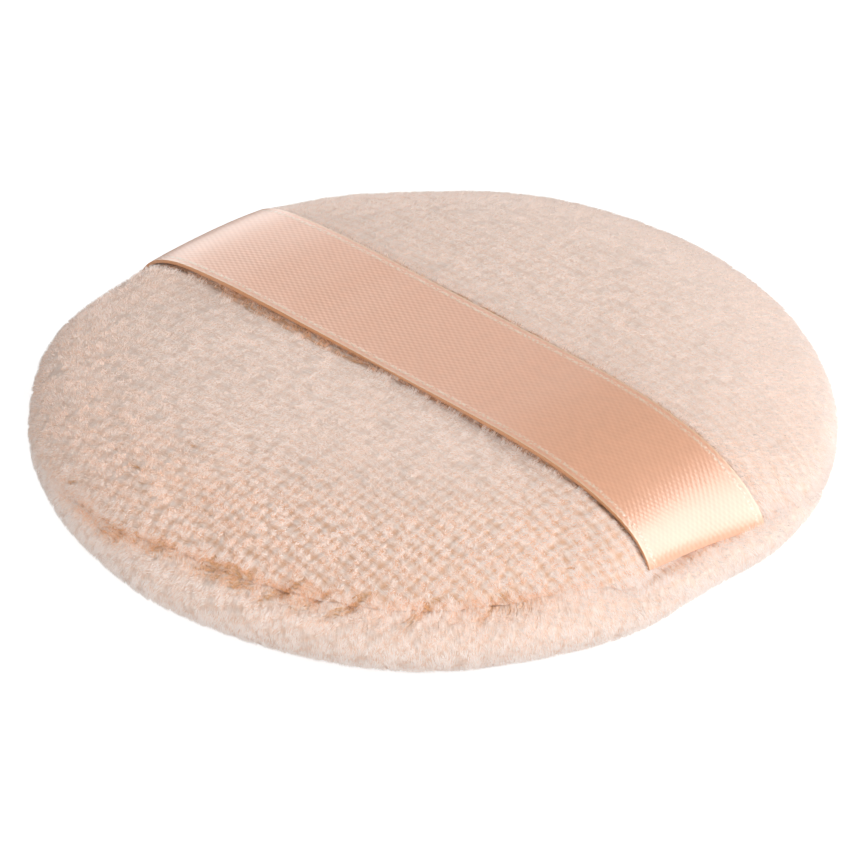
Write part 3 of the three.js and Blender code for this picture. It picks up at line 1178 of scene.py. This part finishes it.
@dataclass(frozen=True)
class FoamFinish:
    """Open-cell foam."""

    colour: Colour = (0.90, 0.83, 0.68)
    pit_shade: Colour = (0.55, 0.55, 0.55)
    cell: float = 0.9 * MM
    cell_depth: float = 0.3 * MM

    def material(self, groups: Groups) -> bpy.types.Material:
        """Cells as dark pits of painted shade, from a Voronoi pattern in the foam.

        Args:
            groups: node groups that finishes share.

        Returns:
            The material.
        """
        nodes = MaterialNodes("foam")
        place = nodes.place()
        values = {"Vector": place, "Scale": 1.0 / self.cell}
        cells = nodes.feed(nodes.add("ShaderNodeTexVoronoi"), values).outputs["Distance"]
        # Painted shade: darker down in each cell.
        pit_shading = nodes.ramp(cells, [(0.0, self.pit_shade), (0.45, (1.0, 1.0, 1.0))])
        uneven = nodes.group(groups.tint, Vector=place, Scale=300.0, Amount=0.05)
        shade = nodes.mix(1.0, self.colour, pit_shading, "MULTIPLY")
        nodes.set(Base_Color=nodes.mix(1.0, shade, uneven, "MULTIPLY"))
        nodes.bump(cells, self.cell_depth)
        nodes.set(Roughness=0.95, Specular_IOR_Level=0.1)
        return nodes.material


@dataclass(frozen=True)
class ThreadFinish:
    """Spun sewing thread with a twisted ply."""

    colour: Colour = (0.70, 0.39, 0.22)
    ply_pitch: float = 0.5 * MM
    ply_depth: float = 0.05 * MM

    def material(self, groups: Groups) -> bpy.types.Material:
        """Diagonal bands for the ply, in the frame's own coordinates.

        Args:
            groups: node groups that finishes share.

        Returns:
            The material.
        """
        nodes = MaterialNodes("sewing_thread")
        place = nodes.place()
        ply = nodes.add("ShaderNodeTexWave", wave_type="BANDS", bands_direction="DIAGONAL")
        nodes.feed(ply, {"Vector": place, "Scale": 1.0 / (self.ply_pitch * 6.0)})
        uneven = nodes.group(groups.tint, Vector=place, Scale=1500.0, Amount=0.1)
        nodes.set(Base_Color=nodes.mix(1.0, self.colour, uneven, "MULTIPLY"))
        nodes.bump(ply.outputs["Fac"], self.ply_depth)
        nodes.set(Roughness=0.7, Sheen_Weight=0.2)
        return nodes.material


@dataclass
class Cover:
    """One velour cover: the body of its pile as a closed shell with a turned-in edge, and its fibres.

    deepens gives the shares of the way to the seam between which the pile grows to its full depth.
    """

    shape: PuffShape
    seam: RimSeam
    side: Side
    rows: int = 120
    columns: int = 560
    cloth: float = 1.2 * MM
    hem: float = 4.5 * MM
    deepens: tuple[float, float] = (0.62, 0.86)
    draw: float = 0.5 * MM
    marks_fade: tuple[float, float] = (2.5 * MM, 1.1 * MM)
    parted_fade: tuple[float, float] = (2.1 * MM, 0.4 * MM)
    coarse: int = 5
    grows_above: float = 0.3
    ground: Ground = field(init=False)

    def depth(self, share: np.ndarray) -> np.ndarray:
        """How deep the body of the pile lies below the tips, at a share of the way to the seam."""
        return (0.16 + 0.14 * smooth_step(*self.deepens, share)) * MM

    def raised(self, tips: np.ndarray, x: np.ndarray, y: np.ndarray) -> np.ndarray:
        """How far the cloth swells at each of its points, which is nowhere unless a cover says so."""
        return np.zeros_like(x)

    def __post_init__(self) -> None:
        """Sinks the surface of the tips along its normals.

        The body of the pile lies below them by its depth, less the swelling of the cloth, plus what the
        hand stitches draw in at the seam.
        """
        angle = round_angles(self.columns)
        tips = self.shape.tips(self.side, self.rows, angle)
        lines = (tips[:, 0], tips[:, self.columns // 3])
        reach = float(sum(arc_lengths(line).max() for line in lines)) / 2
        share = np.linspace(0.0, 1.0, self.rows)
        x, y = (share[:, None] * reach * wave for wave in (np.cos(angle), np.sin(angle)))
        drawn = self.seam.notched(angle) * smooth_step(0.955, 1.0, share)[:, None]
        deep = self.depth(share)[:, None] - self.raised(tips, x, y) + self.draw * drawn
        surface = Ground(tips, reach, self.side)
        points = tips - surface.normals * deep[..., None]
        points[0] = points[0].mean(axis=0)
        self.ground = Ground(points, reach, self.side)

    def bared(self, x: np.ndarray, y: np.ndarray) -> np.ndarray:
        """How far the pile is parted at places on the flat cloth.

        It is the larger of the open seam and the notches of the hand stitches, which both fade out with
        the distance from the seam.

        Args:
            x: first coordinate on the flat cloth.
            y: second coordinate.

        Returns:
            0 to 1 for each place.
        """
        angle = np.arctan2(y, x)
        above = self.ground.reach - np.hypot(x, y)
        marks = self.seam.notched(angle, above * self.side.value) * smooth_step(*self.marks_fade, above)
        return np.maximum(smooth_step(*self.parted_fade, above) * self.seam.parted(angle), marks)

    def opened(self, x: np.ndarray, y: np.ndarray) -> np.ndarray:
        """How far the tufts stand apart at places on the flat cloth.

        It is an even share, plus more towards the rim round the front, less a little round the right, where
        the lamps light the pile most. On the shell it also sets how much painted shade lies between the
        tufts.

        Args:
            x: first coordinate on the flat cloth.
            y: second coordinate.

        Returns:
            0 to 1 for each place.
        """
        turn = np.degrees(angle_off(np.arctan2(y, x), math.radians(-50)))
        front = smooth_step(85, 20, np.abs(turn))
        far = smooth_step(0.45, 0.86, np.hypot(x, y) / self.ground.reach)
        right = smooth_step(60, 110, turn) * far
        return 0.38 + 0.62 * far * front - 0.26 * right

    def shell(self, name: str, material: bpy.types.Material) -> bpy.types.Object:
        """Builds the body of the pile as a closed shell: the outside, the turned-in edge and the inside.

        Args:
            name: name of the piece.
            material: finish of the cloth.

        Returns:
            The mesh object.
        """
        outside = self.ground.points
        inside = (outside - self.ground.normals * self.cloth)[:: -self.coarse]
        away = unit(outside[-1] * np.array([1.0, 1.0, 0.0]))
        lift = np.array([0.0, 0.0, self.side.value * self.cloth * 0.7])
        hem = np.stack([outside[-1] - away * self.hem, outside[-1] - away * self.hem + lift])
        turned = inside.copy()
        turned[0] = outside[-1] - away * self.cloth * 2 + lift
        rings = np.concatenate([outside[1:], hem, turned[:-1]])
        points, faces = closed_rings(rings, np.stack([outside[0, 0], inside[-1, 0]]))
        if self.side is Side.LOWER:
            faces = flipped(faces)
        reach = self.ground.reach
        far = np.linspace(0.0, reach, self.rows)
        far = np.concatenate([far[1:], [reach, reach], far[:: -self.coarse][:-1]])[:, None]
        turn = round_angles(self.columns)
        x, y = (np.append(far * wave, [0.0, 0.0]) for wave in (np.cos(turn), np.sin(turn)))
        piece = new_mesh(name, points, faces, {CLOTH_MAP: np.stack([x, y], axis=1)})
        for key, values in ((BARE, self.bared(x, y)), (OPEN, self.opened(x, y))):
            layer = piece.data.attributes.new(key, "FLOAT", "POINT")
            layer.data.foreach_set("value", values.astype(np.float32))
        piece.data.set_sharp_from_angle(angle=math.radians(50))
        piece.data.materials.append(material)
        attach(piece, "puff")
        log.info("%s: %d faces", name, len(piece.data.polygons))
        return piece

    def plant(
        self,
        names: list[str],
        pile: Pile,
        span: tuple[float, float],
        lay: Lay,
        material: bpy.types.Material,
        where: Callable[[np.ndarray], np.ndarray] = np.ones_like,
    ) -> None:
        """Grows a stretch of pile as several pieces, side by side.

        The fibres are finer than a needle of the mesh and let light through, so they cast no shadows.

        Args:
            names: names of the pieces.
            pile: the kind of pile.
            span: least and greatest distance from the cloth's middle.
            lay: how the fibres stand at places on the flat cloth.
            material: finish of the fibres.
            where: how far the pile grows at an angle round the puff, which is all round unless this is given.
        """
        x, y = pile.tufts(*span)
        kept = where(np.arctan2(y, x)) > self.grows_above
        x, y = x[kept], y[kept]
        stand = lay(x, y)
        order = np.argsort(y, kind="stable")
        for name, chosen in zip(names, np.array_split(order, len(names))):
            piece = pile.grow(name, x[chosen], y[chosen], stand.chosen(chosen))
            piece.visible_shadow = False
            piece.data.materials.append(material)
            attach(piece, "puff")
            log.info("%s: %d faces", name, len(piece.data.polygons))

    def fringe(self, x: np.ndarray, y: np.ndarray) -> FibreLay:
        """How the longer fibres along the rim stand: they droop over the seam, less where the pile is parted.

        Args:
            x: first coordinate of each tuft.
            y: second coordinate.

        Returns:
            The fibres' heights, leans, clumping and tone.
        """
        slow, quick = soft_noise(x, y, 3 * MM, 13), soft_noise(x, y, 0.8 * MM, 14)
        return FibreLay(
            height=(0.40 + 0.10 * quick) * MM,
            lean_along=(0.10 + 0.15 * slow) * MM,
            lean_out=(0.22 + 0.15 * quick) * MM,
            clump=0.25 + 0.1 * quick,
            tone=0.66 + 0.10 * slow + 0.15 * quick,
        )

    def fringed(self, angle: np.ndarray) -> np.ndarray:
        """How far the fringe grows at an angle: where the seam is creased and round the ribbon's ends.

        Args:
            angle: angles round the puff.

        Returns:
            0 to 1 for each angle.
        """
        from_end = np.minimum(np.abs(angle_off(angle, 0.0)), np.abs(angle_off(angle, math.pi)))
        return np.maximum(self.shape.creased(angle), smooth_step(0.62, 0.50, from_end))

    def hang_fringe(self, name: str, seed: int, material: bpy.types.Material) -> None:
        """Plants the fringe along the rim.

        Args:
            name: name of the piece.
            seed: seed of its random draws.
            material: finish of the fibres.
        """
        pile = Pile(
            self.ground,
            self.bared,
            row_pitch=0.42 * MM,
            tuft_pitch=0.55 * MM,
            fibres=12,
            radius=0.03 * MM,
            seed=seed,
            stagger=0.5,
            jitter=0.2,
        )
        reach = self.ground.reach
        span = (reach - 1.2 * MM, reach - 0.05 * MM)
        self.plant([name], pile, span, self.fringe, material, self.fringed)


@dataclass
class UpperCover(Cover):
    """The cover over the top. Its nap lies along the ribbon and droops over the rim."""

    side: Side = Side.UPPER
    softness: float = 0.16 * MM
    press: float = 0.4 * MM
    # Strength of the painted shade line beside the ribbon's edges.
    ribbon_shade_line: float = 0.8

    def raised(self, tips: np.ndarray, x: np.ndarray, y: np.ndarray) -> np.ndarray:
        """Soft swellings and hollows of the stuffed cloth on the slope, less a dent under the ribbon's ends.

        Args:
            tips: the surface at the tips of the pile.
            x: first coordinate of its points on the flat cloth.
            y: second coordinate.

        Returns:
            How far the cloth swells at each point.
        """
        share = np.linspace(0.0, 1.0, self.rows)[:, None]
        soft = self.softness * soft_noise(x, y, 8 * MM, 7) * smooth_step(0.35, 0.7, share)
        soft = soft * smooth_step(1.0, 0.93, share)
        half = self.shape.ribbon_half_width
        aside = np.abs(tips[..., 1] - self.shape.ribbon_shift)
        pressed = smooth_step(half + 0.8 * MM, half - 0.5 * MM, aside)
        pressed = pressed * smooth_step(20 * MM, 31 * MM, np.abs(tips[..., 0]))
        return soft - self.press * pressed

    def bared(self, x: np.ndarray, y: np.ndarray) -> np.ndarray:
        """How far the pile is parted at places on the flat cloth.

        It is the largest of the shares along the seam, where the nap is combed, at its slits, and in a
        painted shade line below each edge of the ribbon, which the cloth and fibres take as a warm orange
        colour.

        Args:
            x: first coordinate on the flat cloth.
            y: second coordinate.

        Returns:
            0 to 1 for each place.
        """
        share, angle = np.hypot(x, y) / self.ground.reach, np.arctan2(y, x)
        left = smooth_step(-60, -100, np.degrees(angle))
        combed_from = 0.60 * left + 0.80 * (1 - left)
        combed = self.seam.combed(angle) * np.clip((share - combed_from) / 0.2, 0.0, 1.0)
        bare = np.maximum(super().bared(x, y), combed)
        bare = np.maximum(bare, self.seam.slit(x, y, self.ground.reach))
        # Painted shade: a warm shadow line along each edge of the ribbon, given as a bare share.
        beside = np.abs(y - self.shape.ribbon_shift) - self.shape.ribbon_half_width
        line = smooth_step(0.9 * MM, 0.2 * MM, beside) * smooth_step(-1.6 * MM, -0.8 * MM, beside)
        return np.maximum(bare, self.ribbon_shade_line * line * smooth_step(37 * MM, 34 * MM, np.abs(x)))

    def dress(self, cloth: bpy.types.Material, fibres: bpy.types.Material) -> None:
        """Builds the body of the pile and its fibres.

        Args:
            cloth: finish of the body.
            fibres: finish of the fibres.
        """
        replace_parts(self.shell("upper_cover_cloth", cloth), "upper_cover")
        pile = Pile(self.ground, self.bared, ROW_PITCH, TUFT_PITCH, fibres=44, radius=0.042 * MM, seed=11)
        names = [f"upper_pile_{number}" for number in range(1, 7)]
        self.plant(names, pile, (0.0, self.ground.reach - 0.1 * MM), self.lay, fibres)
        self.hang_fringe("upper_fringe", 17, fibres)

    def lay(self, x: np.ndarray, y: np.ndarray) -> FibreLay:
        """How the pile stands at places on the flat cloth.

        Args:
            x: first coordinate of each tuft.
            y: second coordinate.

        Returns:
            The fibres' heights, leans, clumping and tone.
        """
        share = np.hypot(x, y) / self.ground.reach
        slope, rim = smooth_step(0.60, 0.86, share), smooth_step(0.90, 0.99, share)
        stand = self.opened(x, y)
        aside = np.abs(y - self.shape.ribbon_shift) - self.shape.ribbon_half_width
        under = smooth_step(1 * MM, -1 * MM, aside)
        beside = smooth_step(1.0 * MM, 0.3 * MM, aside) * smooth_step(-1.4 * MM, -0.6 * MM, aside)
        beside = beside * smooth_step(0.78, 0.6, share)
        slow, quick = soft_noise(x, y, 6 * MM, 3), soft_noise(x / 3, y, 0.9 * MM, 4)
        return FibreLay(
            height=self.depth(share) * (1.0 + 0.05 * slow + 0.08 * quick - 0.35 * under + 3.2 * beside),
            lean_along=(0.50 - 0.30 * stand + 0.08 * slow + 0.08 * quick) * MM * (1 - 0.6 * rim),
            lean_out=(0.10 * slope + 0.45 * rim) * MM,
            clump=0.06 + 0.50 * stand**2 + 0.05 * quick,
            tone=0.68 + 0.08 * slow + 0.16 * quick,
        )


@dataclass
class LowerCover(Cover):
    """The cover below. Its nap hangs down from the seam, and is pressed flat where the puff rests."""

    side: Side = Side.LOWER
    deepens: tuple[float, float] = (0.70, 0.85)
    face_share: float = 0.78
    # Strength of the painted shade line below the ribbon's near end.
    end_shade_line: float = 0.5

    def bared(self, x: np.ndarray, y: np.ndarray) -> np.ndarray:
        """How far the pile is parted at places on the flat cloth.

        It is the larger of the share along the seam and that of a painted shade line just below the ribbon's
        near end.

        Args:
            x: first coordinate on the flat cloth.
            y: second coordinate.

        Returns:
            0 to 1 for each place.
        """
        above = self.ground.reach - np.hypot(x, y)
        # Painted shade: a thin warm shadow line just below the ribbon's near end.
        line = smooth_step(0.24, 0.17, np.abs(np.arctan2(y, x))) * smooth_step(0.8 * MM, 0.2 * MM, above)
        return np.maximum(super().bared(x, y), self.end_shade_line * line)

    def dress(self, cloth: bpy.types.Material, fibres: bpy.types.Material) -> None:
        """Builds the body of the pile, the fibres round the side and the pressed fibres below.

        Args:
            cloth: finish of the body.
            fibres: finish of the fibres.
        """
        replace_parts(self.shell("lower_cover_cloth", cloth), "lower_cover")
        reach = self.ground.reach
        side = Pile(self.ground, self.bared, ROW_PITCH, TUFT_PITCH, fibres=44, radius=0.042 * MM, seed=23)
        names = [f"lower_pile_{number}" for number in range(1, 3)]
        self.plant(names, side, (reach * self.face_share, reach - 0.1 * MM), self.lay, fibres)
        self.hang_fringe("lower_fringe", 19, fibres)
        face = Pile(self.ground, self.bared, ROW_PITCH, TUFT_PITCH, fibres=9, radius=0.022 * MM, seed=29)
        self.plant(["resting_pile"], face, (0.0, reach * self.face_share), self.lay, fibres)

    def lay(self, x: np.ndarray, y: np.ndarray) -> FibreLay:
        """How the pile stands at places on the flat cloth.

        Args:
            x: first coordinate of each tuft.
            y: second coordinate.

        Returns:
            The fibres' heights, leans, clumping and tone.
        """
        share = np.hypot(x, y) / self.ground.reach
        foot = smooth_step(0.86, self.face_share, share)
        slow, quick = soft_noise(x, y, 5 * MM, 5), soft_noise(x, y, 0.8 * MM, 6)
        return FibreLay(
            height=self.depth(share) * (0.98 + 0.06 * slow + 0.08 * quick) * (1 - 0.35 * foot),
            lean_along=(0.1 * slow + 0.5 * foot) * MM,
            lean_out=-(0.42 + 0.10 * quick) * MM * (1 - foot),
            clump=0.35 + 0.1 * quick - 0.2 * foot,
            tone=0.66 + 0.08 * slow + 0.10 * quick,
        )


@dataclass
class Ribbon:
    """The satin ribbon: a flat strip over the crown whose ends turn under into the rim seam.

    It is made as two halves that meet in the middle.
    """

    shape: PuffShape
    thickness: float = 0.24 * MM
    tuck: float = 1.6 * MM
    middle_float: float = 0.42 * MM
    edge_lift: float = 0.03 * MM
    edge_roll: float = 0.2 * MM
    end_slant: float = 0.7 * MM
    end_dip: float = 0.55 * MM
    end_turn: float = 11 * MM
    ripple: float = 0.012 * MM
    ripple_pitch: float = 7.3 * MM
    steps: int = 120
    across: int = 36
    held_until: float = 37.2 * MM
    free_from: float = 10.0 * MM

    def path(self, end_angle: float) -> np.ndarray:
        """The line that half of the ribbon follows in the XZ plane, from its middle to its sewn end.

        It is the crown's own profile moved out to the ribbon's height, and then a short tuck into the seam.

        Args:
            end_angle: angle of this end round the puff.

        Returns:
            Points of (x, z), evenly spaced by length.
        """
        fine = 400
        line = self.shape.tips(Side.UPPER, fine, np.array([end_angle]))[:, 0]
        over = np.stack([np.abs(line[:, 0]), line[:, 2]], axis=1)
        along = unit(np.gradient(over, axis=0))
        share = np.linspace(0.0, 1.0, fine)[:, None]
        high = self.middle_float - self.middle_float * smooth_step(0.45, 0.9, share)
        moved = over + np.stack([-along[:, 1], along[:, 0]], axis=1) * high
        moved[0, 0] = 0.0
        end = moved[-1]
        steps = np.linspace(0.0, self.tuck, 12)[1:]
        tuck = np.stack([end[0] - steps, np.full_like(steps, end[1])], axis=1)
        return spaced(np.concatenate([moved, tuck]), self.steps)

    def bowed(self, x: np.ndarray, y: np.ndarray, end_angle: float) -> np.ndarray:
        """How far out the ribbon's points lie across it, so that its edges keep to the round shoulder.

        A point at the same height on the shoulder lies at the same share of the rim's own radius: x is
        the root of that radius squared less y squared. Over the flat crown x stays as it is.

        Args:
            x: distance from the ribbon's middle along it, at its centre line.
            y: distance across it.
            end_angle: angle of this end round the puff.

        Returns:
            The distance along it at each place.
        """
        turn = np.arctan2(y, np.maximum(x, 1 * MM))
        share = self.shape.kept(turn + end_angle) / self.shape.kept(np.array([end_angle]))
        out = np.sqrt(np.maximum((x * share) ** 2 - y**2, 0.0))
        return x + (out - x) * smooth_step(14 * MM, 26 * MM, x)

    def half(self, name: str, way: float, material: bpy.types.Material) -> bpy.types.Object:
        """Builds half of the ribbon as a closed strip.

        Args:
            name: name of the piece.
            way: 1 for the half towards +X and -1 for the other.
            material: its finish.

        Returns:
            The mesh object.
        """
        end_angle = 0.0 if way > 0 else math.pi
        path = self.path(end_angle)
        along = arc_lengths(path)
        tangent = unit(np.gradient(path, axis=0))
        up = np.stack([-tangent[:, 1], tangent[:, 0]], axis=1)
        side = np.linspace(-1.0, 1.0, self.across)
        arch = np.sin(np.clip(along / along[-1], 0.0, 1.0) * math.pi)
        curl = self.edge_lift * smooth_step(0.55, 1.0, np.abs(side)) * np.where(side < 0, 1.0, 0.2)
        turned = smooth_step(along[-1] - self.end_turn, along[-1] - self.tuck, along)
        turned = turned[:, None] * side * max(way, 0.0)
        ripple = self.ripple * np.sin(along / self.ripple_pitch * FULL_TURN + 0.6)
        raise_by = curl[None, :] * arch[:, None] + (ripple * arch)[:, None]
        points, places = [], []
        for offset in (self.thickness / 2, -self.thickness / 2):
            high = raise_by + offset
            if offset < 0:
                high = high - self.edge_roll * smooth_step(0.93, 1.0, np.abs(side)) * arch[:, None]
            y = np.broadcast_to(side * self.shape.ribbon_half_width + self.shape.ribbon_shift, high.shape)
            middle = self.bowed(np.broadcast_to(path[:, :1], y.shape), y * way, end_angle)
            x = (middle + up[:, :1] * high + self.end_slant * turned) * way
            z = path[:, 1:] + up[:, 1:] * high - self.end_dip * turned
            points.append(np.stack([x, y, z], axis=-1).reshape(-1, 3))
            place = [y - self.shape.ribbon_shift, np.broadcast_to(along[:, None] * way, y.shape)]
            places.append(np.stack(place, axis=-1).reshape(-1, 2))
        faces = [strip_faces(self.steps, self.across)]
        if way < 0:
            faces = flipped(faces)
        piece = new_mesh(name, np.concatenate(points), faces, {CLOTH_MAP: np.concatenate(places)})
        piece.data.set_sharp_from_angle(angle=math.radians(40))
        piece.data.materials.append(material)
        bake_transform(piece)
        log.info("%s: %.1f mm long", name, along[-1] / MM)
        return piece

    def dress(self, material: bpy.types.Material) -> None:
        """Builds both halves.

        Args:
            material: their finish.
        """
        near = self.half("ribbon_near", 1.0, material)
        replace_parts(near, "ribbon_band", "ribbon_tab_near")
        far = self.half("ribbon_far", -1.0, material)
        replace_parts(far, "ribbon_tab_far")


@dataclass
class FoamCore:
    """The foam pad inside: a thick round disc with a rounded edge, a little uneven as cut foam is."""

    shape: PuffShape
    gap: float = 2.4 * MM
    rows: int = 70
    columns: int = 200
    flat: float = 4.5
    full: float = 2.2
    roughness: float = 0.12 * MM

    def dress(self, material: bpy.types.Material) -> None:
        """Builds the pad as a closed surface, a superellipse of revolution between the two covers.

        Args:
            material: its finish.
        """
        radius = self.shape.upper_radius - self.shape.far_pull - self.gap
        low, high = self.gap, self.shape.crown_height - self.gap
        turn = np.linspace(math.pi / 2, -math.pi / 2, self.rows)
        out = radius * np.abs(np.cos(turn)) ** (2 / self.flat)
        up = np.sign(np.sin(turn)) * np.abs(np.sin(turn)) ** (2 / self.full)
        line = spaced(np.stack([out, (high + low) / 2 + up * (high - low) / 2], axis=1), self.rows)
        angle = round_angles(self.columns)
        x, y = line[:, :1] * np.cos(angle), line[:, :1] * np.sin(angle)
        uneven = self.roughness * soft_noise(x, y, 3 * MM, 31)
        rings = np.stack([x, y, line[:, 1:] + uneven], axis=-1)[1:-1]
        points, faces = closed_rings(rings, np.array([[0.0, 0.0, high], [0.0, 0.0, low]]))
        piece = new_mesh("foam_pad", points, faces)
        piece.data.materials.append(material)
        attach(piece, "puff")
        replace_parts(piece, "foam_core")
        log.info("foam_pad: %d faces", len(piece.data.polygons))


@dataclass
class ClosingStitch:
    """The hand stitches that close the turning gap: one thread that winds over and under along the seam."""

    shape: PuffShape
    seam: RimSeam
    loop: float = 0.5 * MM
    radius: float = 0.1 * MM
    sink: float = 1.5 * MM
    steps: int = 24
    sides: int = 8

    def dress(self, material: bpy.types.Material) -> None:
        """Builds the thread as a tube on a helix round the seam, one turn to a stitch.

        Args:
            material: its finish.
        """
        angles = self.seam.stitch_angles()
        half = (angles[1] - angles[0]) / 2
        angle = np.linspace(angles[0] - half, angles[-1] + half, self.steps * len(angles))
        middle = self.shape.tips(Side.UPPER, 60, angle)[-1]
        away = np.stack([np.cos(angle), np.sin(angle), np.zeros_like(angle)], axis=1)
        wind = (angle - angles[0]) / (2 * half) * FULL_TURN
        turned = away * np.cos(wind)[:, None] + np.array([0.0, 0.0, 1.0]) * np.sin(wind)[:, None]
        path = middle - away * self.sink + turned * self.loop
        points, faces = tube(path, self.radius, self.sides)
        piece = new_mesh("closing_stitches", points, faces)
        piece.data.materials.append(material)
        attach(piece, "puff")
        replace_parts(piece, "closing_thread")
        log.info("closing_stitches: %d turns", len(angles))


@dataclass
class Studio:
    """Camera, lights, floor and backdrop."""

    azimuth: float = math.radians(45)
    elevation: float = math.radians(32.9)
    distance: float = 0.638
    lens: float = 261.5
    horizon: float = 0.35
    zenith: float = 0.05
    target: tuple[float, float, float] = (0.0, 0.0, 3.3 * MM)
    floor_half: float = 3.0
    floor_white: float = 0.68
    floor_glow: float = 0.76

    def camera(self) -> None:
        """Places the camera at the photograph's viewing angle."""
        data = bpy.data.cameras.new("camera")
        data.lens = self.lens
        data.sensor_width = 36.0
        data.clip_start = 0.01
        away = Vector((
            math.sin(self.azimuth) * math.cos(self.elevation),
            -math.cos(self.azimuth) * math.cos(self.elevation),
            math.sin(self.elevation),
        ))
        camera = bpy.data.objects.new("camera", data)
        camera.location = Vector(self.target) + away * self.distance
        camera.rotation_euler = (-away).to_track_quat("-Z", "Y").to_euler()
        bpy.context.scene.collection.objects.link(camera)
        bpy.context.scene.camera = camera

    def lamp(self, name: str, right: float, towards: float, up: float, size: float, watts: float) -> None:
        """Adds an area lamp at a place given from the camera's side, aimed at the puff.

        Args:
            name: name of the lamp.
            right: distance to the camera's right.
            towards: distance towards the camera.
            up: height.
            size: side of the square lamp.
            watts: power.
        """
        data = bpy.data.lights.new(name, "AREA")
        data.energy = watts
        data.size = size
        lamp = bpy.data.objects.new(name, data)
        sine, cosine = math.sin(self.azimuth), math.cos(self.azimuth)
        lamp.location = (cosine * right + sine * towards, sine * right - cosine * towards, up)
        lamp.rotation_euler = (-lamp.location).to_track_quat("-Z", "Y").to_euler()
        bpy.context.scene.collection.objects.link(lamp)

    def floor(self) -> None:
        """Adds a plain white floor that keeps the puff's shadow."""
        half, white = self.floor_half, self.floor_white
        points = np.array([[-half, -half, 0.0], [half, -half, 0.0], [half, half, 0.0], [-half, half, 0.0]])
        floor = new_mesh("floor", points, [np.array([[0, 1, 2, 3]])])
        nodes = MaterialNodes("floor_white")
        seen = nodes.add("ShaderNodeLightPath").outputs["Is Camera Ray"]
        nodes.set(Base_Color=(white, white, white, 1.0), Roughness=0.9, Specular_IOR_Level=0.0)
        nodes.set(Emission_Color=(1.0, 1.0, 1.0, 1.0))
        nodes.set(Emission_Strength=nodes.math("MULTIPLY", seen, self.floor_glow))
        floor.data.materials.append(nodes.material)

    def world(self) -> None:
        """Lights the scene softly from all round, with a white background behind it."""
        world = bpy.data.worlds.new("studio")
        world.use_nodes = True
        nodes = Nodes(world.node_tree)
        _, _, height = nodes.axes(nodes.add("ShaderNodeTexCoord").outputs["Generated"])
        fade = {"Value": height, "To Min": self.horizon, "To Max": self.zenith}
        strength = nodes.feed(nodes.add("ShaderNodeMapRange"), fade).outputs["Result"]
        soft = {"Color": (1.0, 0.99, 0.98, 1.0), "Strength": strength}
        white = {"Strength": 1.0}
        shown = [nodes.feed(nodes.add("ShaderNodeBackground"), each).outputs[0] for each in (soft, white)]
        seen = nodes.add("ShaderNodeLightPath").outputs["Is Camera Ray"]
        mix = nodes.feed(nodes.add("ShaderNodeMixShader"), {0: seen, 1: shown[0], 2: shown[1]})
        nodes.link(mix.outputs[0], nodes.add("ShaderNodeOutputWorld").inputs["Surface"])
        bpy.context.scene.world = world

    def build(self) -> None:
        """Sets up everything around the puff."""
        bpy.context.scene.view_settings.view_transform = "Standard"
        self.camera()
        self.world()
        self.floor()
        self.lamp("key", right=0.50, towards=0.02, up=0.33, size=0.55, watts=2.85)
        self.lamp("front", right=0.22, towards=0.6, up=0.2, size=0.6, watts=2.85)
        self.lamp("left", right=-0.56, towards=0.14, up=0.18, size=0.5, watts=1.3)
        self.lamp("back", right=-0.08, towards=-0.6, up=0.12, size=0.34, watts=0.8)


def main() -> None:
    """Builds the puff around its frame."""
    logging.basicConfig(level=logging.INFO, format="%(message)s")
    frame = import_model()
    shape = PuffShape.from_frame()
    groups = Groups()
    seam = RimSeam(shape.upper_radius - shape.crease_inset)
    fibres, velour = PileFinish().material(), VelourFinish()
    UpperCover(shape, seam).dress(velour.material(Side.UPPER, groups), fibres)
    LowerCover(shape, seam).dress(velour.material(Side.LOWER, groups), fibres)
    Ribbon(shape).dress(SatinFinish().material(shape.ribbon_half_width, groups))
    FoamCore(shape).dress(FoamFinish().material(groups))
    thread = ThreadFinish().material(groups)
    ClosingStitch(shape, seam).dress(thread)
    for name in ("needle_thread", "bobbin_thread"):
        node = frame["nodes"][name]
        node.data.materials.clear()
        node.data.materials.append(thread)
    Studio().build()


if __name__ == "__main__":
    main()
